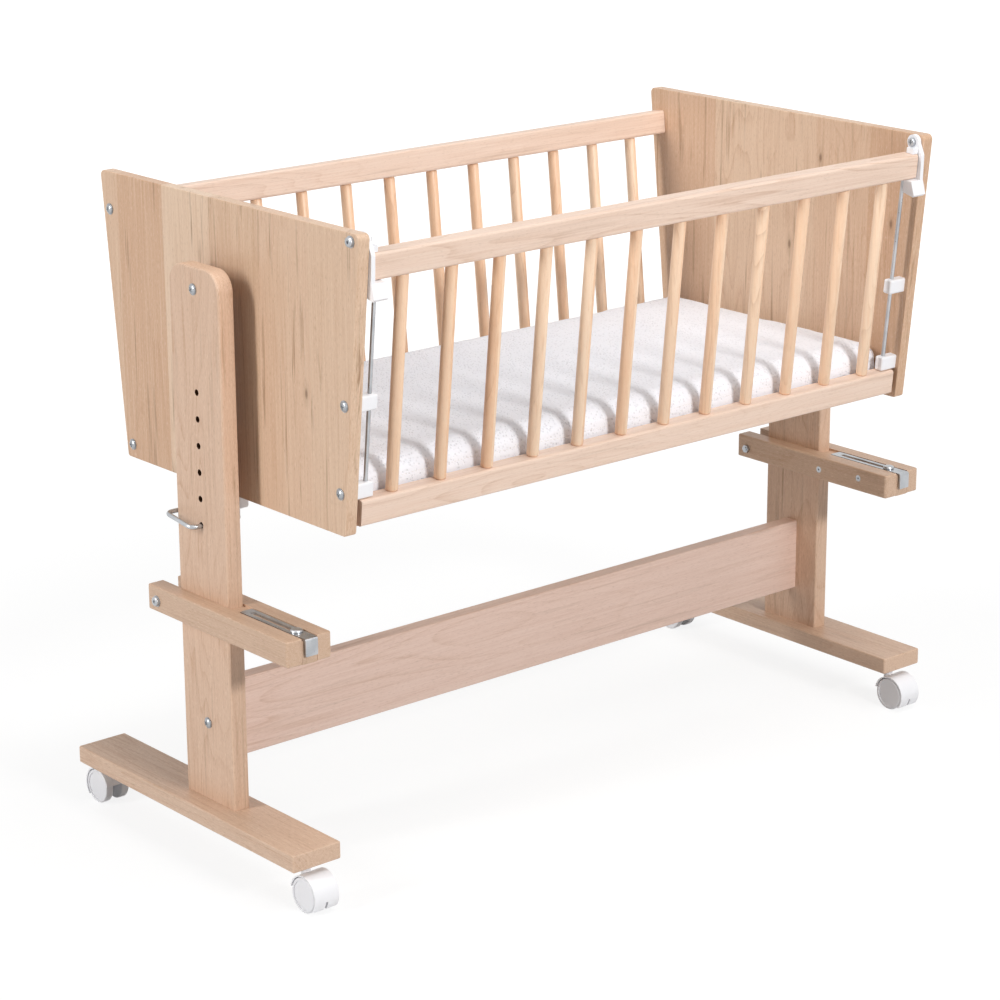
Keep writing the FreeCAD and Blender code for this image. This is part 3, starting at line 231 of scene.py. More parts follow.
def lacquered_beech(name, along, across, pale, dark, figure=1.0, tone=0.0, stave=0.0, cell=0.0,
                    pair=False, veined=0.4, knots=False, hole_shade=False, ruddy=0.0, flecks=1.0,
                    draw=11.3):
    """Planed beech under a satin lacquer: pinkish tan, close straight grain, a soft shine.

    along and across are the axes of the grain and of the board's width. figure, veined, ruddy
    and flecks are the strengths of the rings, the brown streaks, the red tinge and the short
    rays. stave is the width of the glued staves, cell a pitch along X at which the wood changes
    from one turned piece to the next, and pair gives the left and right pieces their own wood.
    tone says how much the pieces differ, from pale to dark, and draw which pieces these are.
    """
    material, tree, shader, place = new_material(name)
    axes = add(tree, "ShaderNodeSeparateXYZ", (place,), take=None).outputs
    deep = 3 - along - across

    # Each stave or piece is cut from another part of the log
    number = piece_number(tree, axes, across, deep, stave, cell, pair)
    drawn = add(tree, MATH, (number, draw), operation="ADD")
    chance = add(tree, "ShaderNodeTexWhiteNoise", {"W": drawn}, noise_dimensions="1D")
    second = add(tree, MATH, (chance, 17.3), operation="MULTIPLY")
    second = add(tree, MATH, (second,), operation="FRACT")
    run = add(tree, MATH, (chance, LOG_LONG, axes[along]), operation="MULTIPLY_ADD")
    log = add(tree, "ShaderNodeCombineXYZ", (axes[across], axes[deep], run))

    def grain(over, down, detail, roughness=0.5, distortion=0.0):
        """A noise stretched along the grain, from its counts per metre over and down it."""
        vector = add(tree, "ShaderNodeVectorMath", (log, (over, over, down)),
                     operation="MULTIPLY")
        return add(tree, NOISE, {"Vector": vector, "Scale": 1.0, "Detail": detail,
                                 "Roughness": roughness, "Distortion": distortion})

    # Growth rings: contour lines of a slow noise give plain-sawn arches, here and there
    rings = add(tree, MATH, (grain(13, 1.5, 2.0, 0.5, 0.35), 19.0), operation="MULTIPLY")
    rings = add(tree, MATH, (rings,), operation="FRACT")
    line = add(tree, MATH, (add(tree, MAP_RANGE, (rings, 0.45, 0.95)), 2.2), operation="POWER")
    late_edge = add(tree, MAP_RANGE, (rings, 1.0, 0.95))
    line = add(tree, MATH, (line, late_edge), operation="MULTIPLY")
    here = add(tree, MAP_RANGE, (grain(10, 1.1, 1.0), 0.40, 0.60, 0.25, 1.0))
    line = add(tree, MATH, (line, here), operation="MULTIPLY")
    # Long fine streaks, drawn about 1.5 mm wide so that they show from a step away
    streaks = grain(460, 7, 4.0, 0.62)
    # Beech's short dark rays and pale pores, 0.8 mm wide and 6 mm long
    rays = grain(1250, 160, 1.0)
    # Brown mineral streaks, about 5 mm wide and 100 mm long, broken up by the fibres
    veins = add(tree, MAP_RANGE, (grain(95, 5.0, 3.0, 0.6, 0.4), 0.58, 0.72))
    fibres = add(tree, MAP_RANGE, (streaks, 0.36, 0.60, 0.35, 1.0))
    vein = add(tree, MATH, (veins, fibres), operation="MULTIPLY")
    ring = add(tree, MATH, (line, fibres), operation="MULTIPLY")

    layers = [
        (chance, 0.5, 1.0, tone, pale),
        (chance, 0.5, 0.0, tone, dark),
        (second, 0.0, 1.0, ruddy, RUDDY),
        (streaks, 0.50, 0.30, 0.40, pale),
        (streaks, 0.50, 0.74, 0.50, dark),
        (ring, 0.0, 1.0, 0.55 * figure, RING),
        (rays, 0.60, 0.76, 0.38 * flecks, VEIN),
        (rays, 0.42, 0.26, 0.38 * flecks, PORE),
        (vein, 0.0, 1.0, veined, VEIN),
    ]
    if knots:
        wide = add(tree, MATH, (axes[across], second), operation="ADD")
        layers += knot_layers(tree, wide, run)
    # Painted shade in the height holes of the posts
    if hole_shade:
        layers.append(hole_shade_layer(tree, axes))
    base = [p + DARK_SHARE * (d - p) for p, d in zip(linear(pale), linear(dark))]
    ridges = add(tree, MATH, (line, 0.3), operation="MULTIPLY")
    height = add(tree, MATH, (streaks, 0.6, ridges), operation="MULTIPLY_ADD")
    fill(tree, shader, {
        "Base Color": tinted(tree, base, layers),
        "Roughness": add(tree, MAP_RANGE, (streaks, 0.3, 0.7, 0.38, 0.52)),
        "Normal": add(tree, "ShaderNodeBump", {
            "Strength": 0.22, "Distance": 0.2 * MM, "Height": height}),
        "IOR": 1.5, "Coat Weight": 0.10, "Coat Roughness": 0.28})
    return material


# ---------------------------------------------------------------- metals, plastics and cloth

def moulded_plastic(name, colour, roughness, grain):
    """Injection moulded nylon or ABS: even colour, a faint eggshell grain from the mould."""
    material, tree, shader, place = new_material(name)
    fine = add(tree, NOISE, {"Vector": place, "Scale": 1 / grain, "Detail": 2.0})
    broad = add(tree, NOISE, {"Vector": place, "Scale": 30.0, "Detail": 2.0})
    fill(tree, shader, {
        "Base Color": tinted(tree, linear(colour), [(broad, 0.3, 0.7, 0.06, "#cfcfd2")]),
        "Roughness": add(tree, MAP_RANGE, (broad, 0.3, 0.7, roughness, roughness + 0.08)),
        "Normal": add(tree, "ShaderNodeBump", {
            "Strength": 0.12, "Distance": 0.05 * MM, "Height": fine}),
        "IOR": 1.49})
    return material


def bright_metal(name, colour, roughness):
    """Zinc plate or mill finish: soft blotchy highlights from 4 mm spots, slightly blue."""
    material, tree, shader, place = new_material(name)
    spots = add(tree, NOISE, {"Vector": place, "Scale": 260.0, "Detail": 4.0})
    broad = add(tree, NOISE, {"Vector": place, "Scale": 45.0, "Detail": 2.0})
    fill(tree, shader, {
        "Base Color": tinted(tree, linear(colour), [(broad, 0.35, 0.7, 1.0, "#a9acb0")]),
        "Roughness": add(tree, MAP_RANGE, (spots, 0.3, 0.7, roughness, roughness + 0.15)),
        "Normal": add(tree, "ShaderNodeBump", {
            "Strength": 0.1, "Distance": 0.05 * MM, "Height": spots}),
        "Metallic": 1.0})
    return material


def dotted_cotton(name, colour, pitch):
    """White cotton jersey with a small dot knitted in at each pitch: matt, softly dimpled, with
    painted shade in the dimples and in soft folds.
    """
    material, tree, shader, place = new_material(name)
    dots = add(tree, "ShaderNodeTexVoronoi", {
        "Vector": place, "Scale": 1 / pitch, "Randomness": 0.85})
    fuzz = add(tree, NOISE, {"Vector": place, "Scale": 900.0, "Detail": 3.0})
    fold_shade = add(tree, NOISE, {"Vector": place, "Scale": 14.0, "Detail": 3.0})
    pit_and_shade = add(tree, MAP_RANGE, (dots, 0.40, 0.14))
    fluff = add(tree, MATH, (fuzz, 0.25), operation="MULTIPLY")
    height = add(tree, MATH, (fluff, pit_and_shade), operation="SUBTRACT")
    fill(tree, shader, {
        # Painted shade darkens the dimples of the dots and the soft folds
        "Base Color": tinted(tree, linear(colour), [
            (pit_and_shade, 0.0, 1.0, 0.30, "#c6c5cd"), (fold_shade, 0.3, 0.7, 0.10, "#e3e0e0")]),
        "Normal": add(tree, "ShaderNodeBump", {
            "Strength": 0.7, "Distance": 0.9 * MM, "Height": height}),
        "Roughness": 0.92, "Sheen Weight": 0.2, "Sheen Roughness": 0.5})
    return material


def sewing_thread(name, colour):
    """Twisted polyester thread: fine slanting ribs, 1 mm apart so that they show."""
    material, tree, shader, place = new_material(name)
    turned = add(tree, "ShaderNodeMapping", {"Vector": place, "Rotation": (0.6, 0.7, 0.8)})
    ribs = add(tree, "ShaderNodeTexWave", {
        "Vector": turned, "Scale": 160.0, "Distortion": 1.5})
    fill(tree, shader, {
        "Base Color": tinted(tree, linear(colour), [(ribs, 0.0, 1.0, 0.25, "#b9b6b4")]),
        "Normal": add(tree, "ShaderNodeBump", {
            "Strength": 0.5, "Distance": 0.3 * MM, "Height": ribs}),
        "Roughness": 0.7, "Sheen Weight": 0.2})
    return material


def paint(objects, material):
    for item in objects:
        item.data.materials.clear()
        item.data.materials.append(material)


def nodes_named(*patterns):
    """The CAD nodes whose names fit, such as foot_* for foot_left and foot_right."""
    return [frame["nodes"][name] for pattern in patterns
            for name in fnmatch.filter(frame["nodes"], pattern)]


# ---------------------------------------------------------------- geometry node helpers

def new_group(name, sizes):
    """A geometry node tree with named sizes, the values it is given, and its sockets' ids."""
    tree = bpy.data.node_groups.new(name, "GeometryNodeTree")
    for way in ("INPUT", "OUTPUT"):
        tree.interface.new_socket("Geometry", in_out=way, socket_type="NodeSocketGeometry")
    keys = {}
    for label, size in sizes.items():
        socket = tree.interface.new_socket(label, in_out="INPUT", socket_type="NodeSocketFloat")
        socket.default_value = size
        keys[label] = socket.identifier
    return tree, add(tree, "NodeGroupInput", take=None).outputs, keys


def repeat_on_points(tree, points, piece, material):
    """Sets the piece on each point, turned as the point says, and makes it real geometry."""
    turn = add(tree, "GeometryNodeInputNamedAttribute", {"Name": "turn"},
               data_type="FLOAT_VECTOR")
    spun = add(tree, "FunctionNodeEulerToRotation", (turn,))
    row = add(tree, "GeometryNodeInstanceOnPoints", {
        "Points": points, "Instance": piece, "Rotation": spun})
    real = add(tree, "GeometryNodeRealizeInstances", (row,))
    dressed = add(tree, "GeometryNodeSetMaterial", {0: real, "Material": material})
    add(tree, "NodeGroupOutput", (dressed,), take=None)


def plain_mesh(name, group, sizes, points, turns, material):
    """Runs a node group on loose points and keeps the result as one plain mesh object."""
    tree, keys = group
    mesh = bpy.data.meshes.new("places")
    mesh.from_pydata([tuple(point) for point in points], [], [])
    attribute = mesh.attributes.new("turn", "FLOAT_VECTOR", "POINT")
    attribute.data.foreach_set("vector", [angle for turn in turns for angle in turn])
    carrier = bpy.data.objects.new("places", mesh)
    bpy.context.collection.objects.link(carrier)
    modifier = carrier.modifiers.new("rule", "NODES")
    modifier.node_group = tree
    for label, size in sizes.items():
        modifier[keys[label]] = size
    bpy.context.view_layer.update()
    evaluated = carrier.evaluated_get(bpy.context.evaluated_depsgraph_get())
    made = bpy.data.objects.new(name, bpy.data.meshes.new_from_object(evaluated))
    made.data.name = name
    bpy.context.collection.objects.link(made)
    bpy.data.objects.remove(carrier)
    paint([made], material)
    return made


class CribSettings(bpy.types.PropertyGroup):
    """Sizes and colours that a user would change."""
    spindle_radius: bpy.props.FloatProperty(
        name="Spindle Radius", description="Half the thickness of the turned spindles",
        default=7.5 * MM, unit="LENGTH")
    spindle_ease: bpy.props.FloatProperty(
        name="Spindle Ease", description="Length of the rounded end of a spindle",
        default=2.2 * MM, unit="LENGTH")
    head_radius: bpy.props.FloatProperty(
        name="Screw Head Radius", description="Radius of the pan heads on posts and panels",
        default=6.0 * MM, unit="LENGTH")
    head_height: bpy.props.FloatProperty(
        name="Screw Head Height", description="How far a pan head stands out of its washer",
        default=2.7 * MM, unit="LENGTH")
    pucker: bpy.props.FloatProperty(
        name="Seam Pucker", description="How far the mattress cover draws in along its seam",
        default=1.3 * MM, unit="LENGTH")
    swell_limit: bpy.props.FloatProperty(
        name="Swell Limit", description="Furthest that a point of the mattress moves as it fills",
        default=5.0 * MM, unit="LENGTH")
    stitch_pitch: bpy.props.FloatProperty(
        name="Stitch Pitch", description="Distance between the stitches of the mattress seam",
        default=5.0 * MM, unit="LENGTH")
    floor_tone: bpy.props.FloatVectorProperty(
        name="Floor Tone", description="Colour of the studio floor", subtype="COLOR",
        size=3, default=(0.62, 0.62, 0.62), min=0.0, max=1.0)


# ---------------------------------------------------------------- spindles

# The two short cones that ease a spindle's end: where each starts and stops along the ease, and
# how wide it is there beside the spindle
EASE_CONES = ((0.0, 1.0, 0.55, 0.93), (0.55, 0.93, 1.0, 0.74))
SPINDLE_SIDES = 40

# Name, CAD node, side, depth in from the edge, the rails' facing sides up the slope, body
SPINDLE_ROWS = (
    ("turned_front_spindles", "front_spindles", -1, 12 * MM, 39.2 * MM, 301.51 * MM,
     "drop_side"),
    ("turned_back_spindles", "back_spindles", 1, 14 * MM, 32.2 * MM, 294.21 * MM, "crib"))


def spindle_group(material):
    """A row of turned dowels with eased ends, from a row of points."""
    tree, given, keys = new_group("turned spindles", {
        "Radius": 7.5 * MM, "Length": 262 * MM, "Eased End": 2.2 * MM})
    radius, ease = given["Radius"], given["Eased End"]
    eases = add(tree, MATH, (ease, 2.0), operation="MULTIPLY")
    body_long = add(tree, MATH, (given["Length"], eases), operation="SUBTRACT")
    half = add(tree, MATH, (body_long, 2.0), operation="DIVIDE")
    parts = [add(tree, "GeometryNodeMeshCylinder", {
        "Vertices": SPINDLE_SIDES, "Radius": radius, "Depth": body_long}, fill_type="NONE")]
    for side in (1.0, -1.0):
        for low, wide, high, narrow in EASE_CONES:
            cone = add(tree, "GeometryNodeMeshCone", {
                "Vertices": SPINDLE_SIDES,
                "Radius Top": add(tree, MATH, (radius, narrow), operation="MULTIPLY"),
                "Radius Bottom": add(tree, MATH, (radius, wide), operation="MULTIPLY"),
                "Depth": add(tree, MATH, (ease, high - low), operation="MULTIPLY")},
                fill_type="NONE")
            start = add(tree, MATH, (ease, low, half), operation="MULTIPLY_ADD")
            lift = add(tree, MATH, (start, side), operation="MULTIPLY")
            parts.append(add(tree, "GeometryNodeTransform", {
                "Geometry": cone,
                "Translation": add(tree, "ShaderNodeCombineXYZ", {"Z": lift}),
                "Rotation": (0.0 if side > 0 else math.pi, 0.0, 0.0)}))
    whole = add(tree, "GeometryNodeJoinGeometry", (parts,))
    merged = add(tree, "GeometryNodeMergeByDistance", {0: whole, "Distance": 0.02 * MM})
    smooth = add(tree, "GeometryNodeSetShadeSmooth", (merged,))
    repeat_on_points(tree, given["Geometry"], smooth, material)
    return tree, keys


class CRIB_OT_spindles(bpy.types.Operator):
    """Turn the spindles of both side frames"""
    bl_idname = "crib.spindles"
    bl_label = "Turn Spindles"

    def execute(self, context):
        sizes = context.scene.crib_settings
        wood = lacquered_beech("lacquered turned beech", 2, 0, "#f7dbbf", "#efc19b", tone=0.85,
                               cell=SPINDLE_PITCH, figure=0.7, veined=0.25, flecks=0.3)
        start = SPINDLE_END_GAP - INNER_HALF
        places = [start + SPINDLE_PITCH * i for i in range(SPINDLE_COUNT)]
        for name, node, side, depth, low, high, body in SPINDLE_ROWS:
            y, z = on_slope(depth, (low + high) / 2, side)
            row = plain_mesh(name, spindle_group(wood), {
                "Radius": sizes.spindle_radius, "Length": high - low,
                "Eased End": sizes.spindle_ease},
                [(x, y, z) for x in places], [(-side * SLOPE, 0, 0)] * SPINDLE_COUNT, wood)
            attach(row, body)
            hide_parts(node)
        return {"FINISHED"}


# ---------------------------------------------------------------- screw heads

HEAD_SIDES = 32
HEAD_RINGS = 20
# The washer is a little wider than its head, and the head's dome starts inside it
WASHER_WIDER = 1.16
WASHER_TALL = 1.0 * MM
DOME_LOW = 0.6 * MM
# The cross recess: how long and wide its two bars are, and how far up their lower sides lie
CROSS_LONG = 6.2 * MM
CROSS_WIDE = 1.3 * MM
CROSS_TALL = 3.6 * MM
CROSS_LOW = 2.2 * MM
# A block that is sure to cover the unwanted lower half of the dome
CUTTER_WIDE = 40.0 * MM
CUTTER_TALL = 20.0 * MM


def screw_head_group(material):
    """Pan heads with a cross recess on a washer, one for each point."""
    tree, given, keys = new_group("pan heads", {"Radius": 6.0 * MM, "Height": 2.7 * MM})
    radius = given["Radius"]
    washer = add(tree, "GeometryNodeMeshCylinder", {
        "Vertices": HEAD_SIDES, "Depth": WASHER_TALL,
        "Radius": add(tree, MATH, (radius, WASHER_WIDER), operation="MULTIPLY")})
    washer = add(tree, "GeometryNodeTransform", {
        "Geometry": washer, "Translation": (0, 0, WASHER_TALL / 2)})
    ball = add(tree, "GeometryNodeMeshUVSphere", {
        "Segments": HEAD_SIDES, "Rings": HEAD_RINGS, "Radius": radius})
    flatter = add(tree, MATH, (given["Height"], radius), operation="DIVIDE")
    dome = add(tree, "GeometryNodeTransform", {
        "Geometry": ball, "Translation": (0, 0, WASHER_TALL),
        "Scale": add(tree, "ShaderNodeCombineXYZ", (1.0, 1.0, flatter))})
    # The two bars of the cross, and the block that takes the lower half of the dome
    cutters = (((CROSS_LONG, CROSS_WIDE, CROSS_TALL), CROSS_LOW + CROSS_TALL / 2),
               ((CROSS_WIDE, CROSS_LONG, CROSS_TALL), CROSS_LOW + CROSS_TALL / 2),
               ((CUTTER_WIDE, CUTTER_WIDE, CUTTER_TALL), DOME_LOW - CUTTER_TALL / 2))
    blocks = [add(tree, "GeometryNodeTransform", {
        "Geometry": add(tree, "GeometryNodeMeshCube", {"Size": size}),
        "Translation": (0, 0, lift)}) for size, lift in cutters]
    cut = add(tree, "GeometryNodeMeshBoolean", (dome, blocks), operation="DIFFERENCE",
              solver="EXACT")
    head = add(tree, "GeometryNodeJoinGeometry", ([washer, cut],))
    repeat_on_points(tree, given["Geometry"], head, material)
    return tree, keys


def panel_spot(depth, lift, side=-1):
    """The place of a head on the right panel, from its millimetres in from and up the slope."""
    return PANEL_OUT, *on_slope(depth * MM, lift * MM, side)


# Name, body, the CAD nodes that the heads stand for, and the right-hand head of each pair
SCREW_GROUPS = (
    ("post_screw_heads", "stand", ("stretcher_bolts", "guide_bolts"),
     ((POST_OUT, LAYOUT_Y, 179.5 * MM), (POST_OUT, LAYOUT_Y, 717.5 * MM))),
    ("panel_screw_heads", "crib", ("panel_bolts",),
     (panel_spot(12, 155.3), panel_spot(12, 49.2), panel_spot(14, 16.2, 1),
      panel_spot(14, 310.2, 1))),
)


class CRIB_OT_screw_heads(bpy.types.Operator):
    """Set the pan heads on the posts and on the end panels"""
    bl_idname = "crib.screw_heads"
    bl_label = "Set Screw Heads"

    def execute(self, context):
        sizes = context.scene.crib_settings
        steel = bright_metal("zinc plated screw heads", "#a6a9ac", 0.22)
        chance = random.Random(7)
        for name, body, replaced, spots in SCREW_GROUPS:
            points, turns = [], []
            for x, y, z in spots:
                for side in (-1, 1):
                    points.append((side * x, y, z))
                    spin = Matrix.Rotation(chance.uniform(0, math.pi), 3, "Z")
                    outward = Matrix.Rotation(side * math.pi / 2, 3, "Y")
                    turns.append(tuple((outward @ spin).to_euler()))
            heads = plain_mesh(name, screw_head_group(steel), {
                "Radius": sizes.head_radius, "Height": sizes.head_height},
                points, turns, steel)
            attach(heads, body)
            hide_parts(*replaced)
        return {"FINISHED"}


# ---------------------------------------------------------------- mattress

# The cover starts this much inside the CAD form, and is remeshed at this pitch
START_INSIDE = 2.0 * MM
COVER_VOXEL = 7.0 * MM
FILL_PRESSURE = 4.0
FILL_FRAMES = 14
# How far the seam round the mattress lies above its bottom, and where the rails stop holding it
SEAM_UP = 31.0 * MM
HELD_UP = 18.0 * MM
# The slow and the quick wave of the seam: how tall, how fast along the side, and the phase
SEAM_WAVES = ((1.2 * MM, 17.0, 0.0), (0.5 * MM, 71.0, 1.0))
# How far the long sides swell past the rails, and over what height that starts
SIDE_SWELL = 3.0 * MM
SWELL_OVER = 12.0 * MM
# How far in from an edge the puckers reach, and how wide the drawn-in seam is
EDGE_WIDE = 30.0 * MM
SEAM_WIDE = 5.0 * MM
CORNER_RADIUS = 28.0 * MM
STITCH_LONG = 3.4 * MM
STITCH_THICK = 0.35 * MM
# How far a stitch stands off the cover
STITCH_OFF = 0.1 * MM


def rounded_loop(half_x, half_y, radius, pitch):
    """Evenly spaced points and outward directions round a rounded rectangle."""
    straight_x, straight_y = 2 * (half_x - radius), 2 * (half_y - radius)
    arc = math.pi / 2 * radius
    length = 2 * (straight_x + straight_y) + 4 * arc
    count = int(length / pitch)
    found = []
    for step in range(count):
        left = length * step / count
        for turn, run in enumerate((straight_y, straight_x, straight_y, straight_x)):
            angle = turn * math.pi / 2
            out = Vector((math.cos(angle), math.sin(angle)))
            along = Vector((-out.y, out.x))
            reach = half_x if turn % 2 == 0 else half_y
            if left <= run:
                found.append((out * reach + along * (left - run / 2), out))
                break
            left -= run
            if left <= arc:
                bend = angle + left / radius
                centre = out * (reach - radius) + along * run / 2
                way = Vector((math.cos(bend), math.sin(bend)))
                found.append((centre + way * radius, way))
                break
            left -= arc
    return found


def filled_pad(name, limit):
    """The mattress as a cloth cover: the CAD form, remeshed, then swollen by cloth pressure."""
    mesh = frame["nodes"]["mattress"].data.copy()
    pad = bpy.data.objects.new(name, mesh)
    bpy.context.collection.objects.link(pad)
    work = bmesh.new()
    work.from_mesh(mesh)
    bmesh.ops.remove_doubles(work, verts=work.verts, dist=0.01 * MM)
    bmesh.ops.recalc_face_normals(work, faces=work.faces)
    work.normal_update()
    for vertex in work.verts:
        vertex.co -= vertex.normal * START_INSIDE
    work.to_mesh(mesh)
    work.free()
    bpy.context.view_layer.objects.active = pad
    remesh = pad.modifiers.new("cover", "REMESH")
    remesh.mode = "VOXEL"
    remesh.voxel_size = COVER_VOXEL
    bpy.ops.object.modifier_apply(modifier=remesh.name)
    start = [vertex.co.copy() for vertex in pad.data.vertices]
    cloth = pad.modifiers.new("fill", "CLOTH")
    cloth.settings.quality = 4
    cloth.settings.use_pressure = True
    cloth.settings.uniform_pressure_force = FILL_PRESSURE
    cloth.settings.effector_weights.gravity = 0.0
    cloth.point_cache.frame_start = 1
    cloth.point_cache.frame_end = FILL_FRAMES
    for step in range(1, FILL_FRAMES + 1):
        bpy.context.scene.frame_set(step)
    bpy.ops.object.modifier_apply(modifier=cloth.name)
    bpy.context.scene.frame_set(1)
    for vertex, home in zip(pad.data.vertices, start):
        move = vertex.co - home
        if move.length > limit:
            vertex.co = home + move.normalized() * limit
    return pad


def stretch_cover(pad, half_x, half_y):
    """Stretches the cover, which has drawn in as it filled, back to its length and width."""
    reach_x = max(abs(vertex.co.x) for vertex in pad.data.vertices)
    reach_y = max(abs(vertex.co.y - LAYOUT_Y) for vertex in pad.data.vertices)
    for vertex in pad.data.vertices:
        vertex.co.x *= half_x / reach_x
        vertex.co.y = (vertex.co.y - LAYOUT_Y) * half_y / reach_y + LAYOUT_Y


def clamped(value, low, high):
    return max(low, min(high, value))


def pucker_cover(pad, half_x, half_y, low, high, depth):
    """Draws the cover in along its wavy seam, in small uneven tucks, and keeps it in its box.

    Above the bottom rails the long sides may swell a little way out of that box. Returns the
    height of the seam at a place along a side.
    """
    chance = random.Random(3)
    waves = [(chance.uniform(60, 240), chance.uniform(0, 6.28), chance.uniform(0.4, 1.0))
             for _ in range(9)]

    def tuck(run):
        return sum(size * math.sin(run * rate + phase) for rate, phase, size in waves) / 5

    def seam(run):
        return low + SEAM_UP + sum(
            tall * math.sin(run * rate + phase) for tall, rate, phase in SEAM_WAVES)

    for vertex in pad.data.vertices:
        place = vertex.co
        x, y = place.x, place.y - LAYOUT_Y
        inward = max(abs(x) - half_x, abs(y) - half_y) / EDGE_WIDE
        edge = max(inward + 1.0, 0.0)
        long_side = abs(y) / half_y > abs(x) / half_x
        run = x if long_side else y
        near = math.exp(-((place.z - seam(run)) / SEAM_WIDE) ** 2)
        pull = depth * edge * (near * (1.0 + 0.6 * tuck(run)) + 0.45 * tuck(run) * (1 - near))
        if long_side:
            y -= math.copysign(1, y) * pull
        else:
            x -= math.copysign(1, x) * pull
        swell = SIDE_SWELL * clamped((place.z - low - HELD_UP) / SWELL_OVER, 0.0, 1.0)
        place.x = clamped(x, -half_x, half_x)
        place.y = clamped(y, -half_y - swell, half_y + swell) + LAYOUT_Y
        place.z = clamped(place.z, low, high)
    return seam


def stitch_group(material):
    """Short thread stitches laid along a line of points."""
    tree, given, keys = new_group("seam stitches", {
        "Length": STITCH_LONG, "Thickness": STITCH_THICK})
    thread = add(tree, "GeometryNodeMeshIcoSphere", {"Radius": 1.0, "Subdivisions": 1})
    half = add(tree, MATH, (given["Length"], 2.0), operation="DIVIDE")
    size = add(tree, "ShaderNodeCombineXYZ", (half, given["Thickness"], given["Thickness"]))
    thread = add(tree, "GeometryNodeTransform", {"Geometry": thread, "Scale": size})
    repeat_on_points(tree, given["Geometry"], thread, material)
    return tree, keys


class CRIB_OT_mattress(bpy.types.Operator):
    """Fill the mattress and sew its seam"""
    bl_idname = "crib.mattress"
    bl_label = "Make Mattress"

    def execute(self, context):
        sizes = context.scene.crib_settings
        low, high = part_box("mattress")
        half_x = (high[0] - low[0]) / 2
        half_y = (high[1] - low[1]) / 2
        cover = dotted_cotton("dotted cotton jersey cover", "#f6f8ff", 4.2 * MM)
        thread = sewing_thread("white sewing thread", "#ebe9e8")
        pad = filled_pad("mattress_pad", sizes.swell_limit)
        stretch_cover(pad, half_x, half_y + SIDE_SWELL)
        seam = pucker_cover(pad, half_x, half_y, low[2], high[2], sizes.pucker)
        # The stitches lie in the seam, each on the nearest spot of the filled cover
        points, turns = [], []
        for point, out in rounded_loop(half_x, half_y, CORNER_RADIUS, sizes.stitch_pitch):
            run = point.x if abs(out.y) > abs(out.x) else point.y
            aim = Vector((point.x, point.y + LAYOUT_Y, seam(run)))
            _, place, normal, _ = pad.closest_point_on_mesh(aim)
            points.append(place + normal * STITCH_OFF)
            turns.append((0, 0, math.atan2(out.y, out.x) + math.pi / 2))
        stitches = plain_mesh("seam_stitches", stitch_group(thread), {
            "Length": STITCH_LONG, "Thickness": STITCH_THICK}, points, turns, thread)
        smooth = pad.modifiers.new("soften", "SUBSURF")
        smooth.levels = smooth.render_levels = 1
        for face in pad.data.polygons:
            face.use_smooth = True
        paint([pad], cover)
        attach(pad, "crib")
        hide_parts("mattress")
        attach(stitches, "crib")
        return {"FINISHED"}


# ---------------------------------------------------------------- finishes for the CAD nodes

# Name, axes along and across the grain, pale and dark tint, the wood's other settings, nodes
WOODS = (
    ("lacquered beech, glued staves", 2, 1, "#e6cbb1", "#c79f7d",
     {"stave": 96 * MM, "tone": 0.9, "ruddy": 0.25, "veined": 0.85, "figure": 0.7,
      "knots": True, "draw": 4207.15}, ("end_panel_*",)),
    # The posts get painted shade in their height holes
    ("lacquered beech posts", 2, 1, "#e2c3aa", "#c9a387",
     {"pair": True, "figure": 0.8, "hole_shade": True}, ("post_*",)),
    ("lacquered beech rails", 0, 2, "#f2dccc", "#dcb9a1",
     {"figure": 0.8, "veined": 0.2, "flecks": 0.5}, ("*_rail", "long_battens")),
    ("lacquered beech stretcher", 0, 2, "#ecd3c6", "#d6b3a2",
     {"figure": 0.6, "veined": 0.25, "flecks": 0.6}, ("stretcher",)),
    ("lacquered beech feet", 1, 0, "#ddc1a9", "#c39d82",
     {"pair": True, "veined": 0.3}, ("foot_*", "end_battens")),
    ("lacquered beech arms", 1, 0, "#d6b99f", "#bc977d",
     {"pair": True, "veined": 0.3}, ("arm_outer_rail_*", "arm_inner_rail_*", "arm_block_*")),
    ("birch plywood board", 0, 1, "#e6cfae", "#cfae86",
     {"figure": 0.5, "veined": 0.1}, ("base_board",)),
)

# Maker, name, colour, roughness, the plastic's mould grain, nodes
HARDWARE = (
    (moulded_plastic, "white moulded nylon", "#f5f5f8", 0.28, (0.5 * MM,),
     ("latch_left", "latch_right", "guide_blocks_*", "pin_saddles", "caster_hood_*")),
    (moulded_plastic, "pale grey wheel plastic", "#eeeef1", 0.36, (0.4 * MM,), ("wheel_*",)),
    (moulded_plastic, "natural nylon bush", "#e4e0d4", 0.45, (0.5 * MM,), ("guide_bushes",)),
    (bright_metal, "bright zinc plated steel", "#c2c4c7", 0.26, (),
     ("*_bolts", "*_screws", "*_studs", "caster_stems", "guide_rods", "pin_left", "pin_right",
      "hook_*", "hand_nut_*")),
    (bright_metal, "mill finish aluminium", "#bcbec3", 0.30, (), ("slide_channels",)),
)


class CRIB_OT_wood_finish(bpy.types.Operator):
    """Give every wooden CAD node its beech"""
    bl_idname = "crib.wood_finish"
    bl_label = "Finish Woods"

    def execute(self, context):
        for name, along, across, pale, dark, settings, patterns in WOODS:
            wood = lacquered_beech(name, along, across, pale, dark, **settings)
            paint(nodes_named(*patterns), wood)
        return {"FINISHED"}


class CRIB_OT_hardware_finish(bpy.types.Operator):
    """Give every metal and plastic CAD node its finish"""
    bl_idname = "crib.hardware_finish"
    bl_label = "Finish Hardware"

    def execute(self, context):
        for maker, name, colour, roughness, grain, patterns in HARDWARE:
            paint(nodes_named(*patterns), maker(name, colour, roughness, *grain))
        return {"FINISHED"}


# ---------------------------------------------------------------- stage

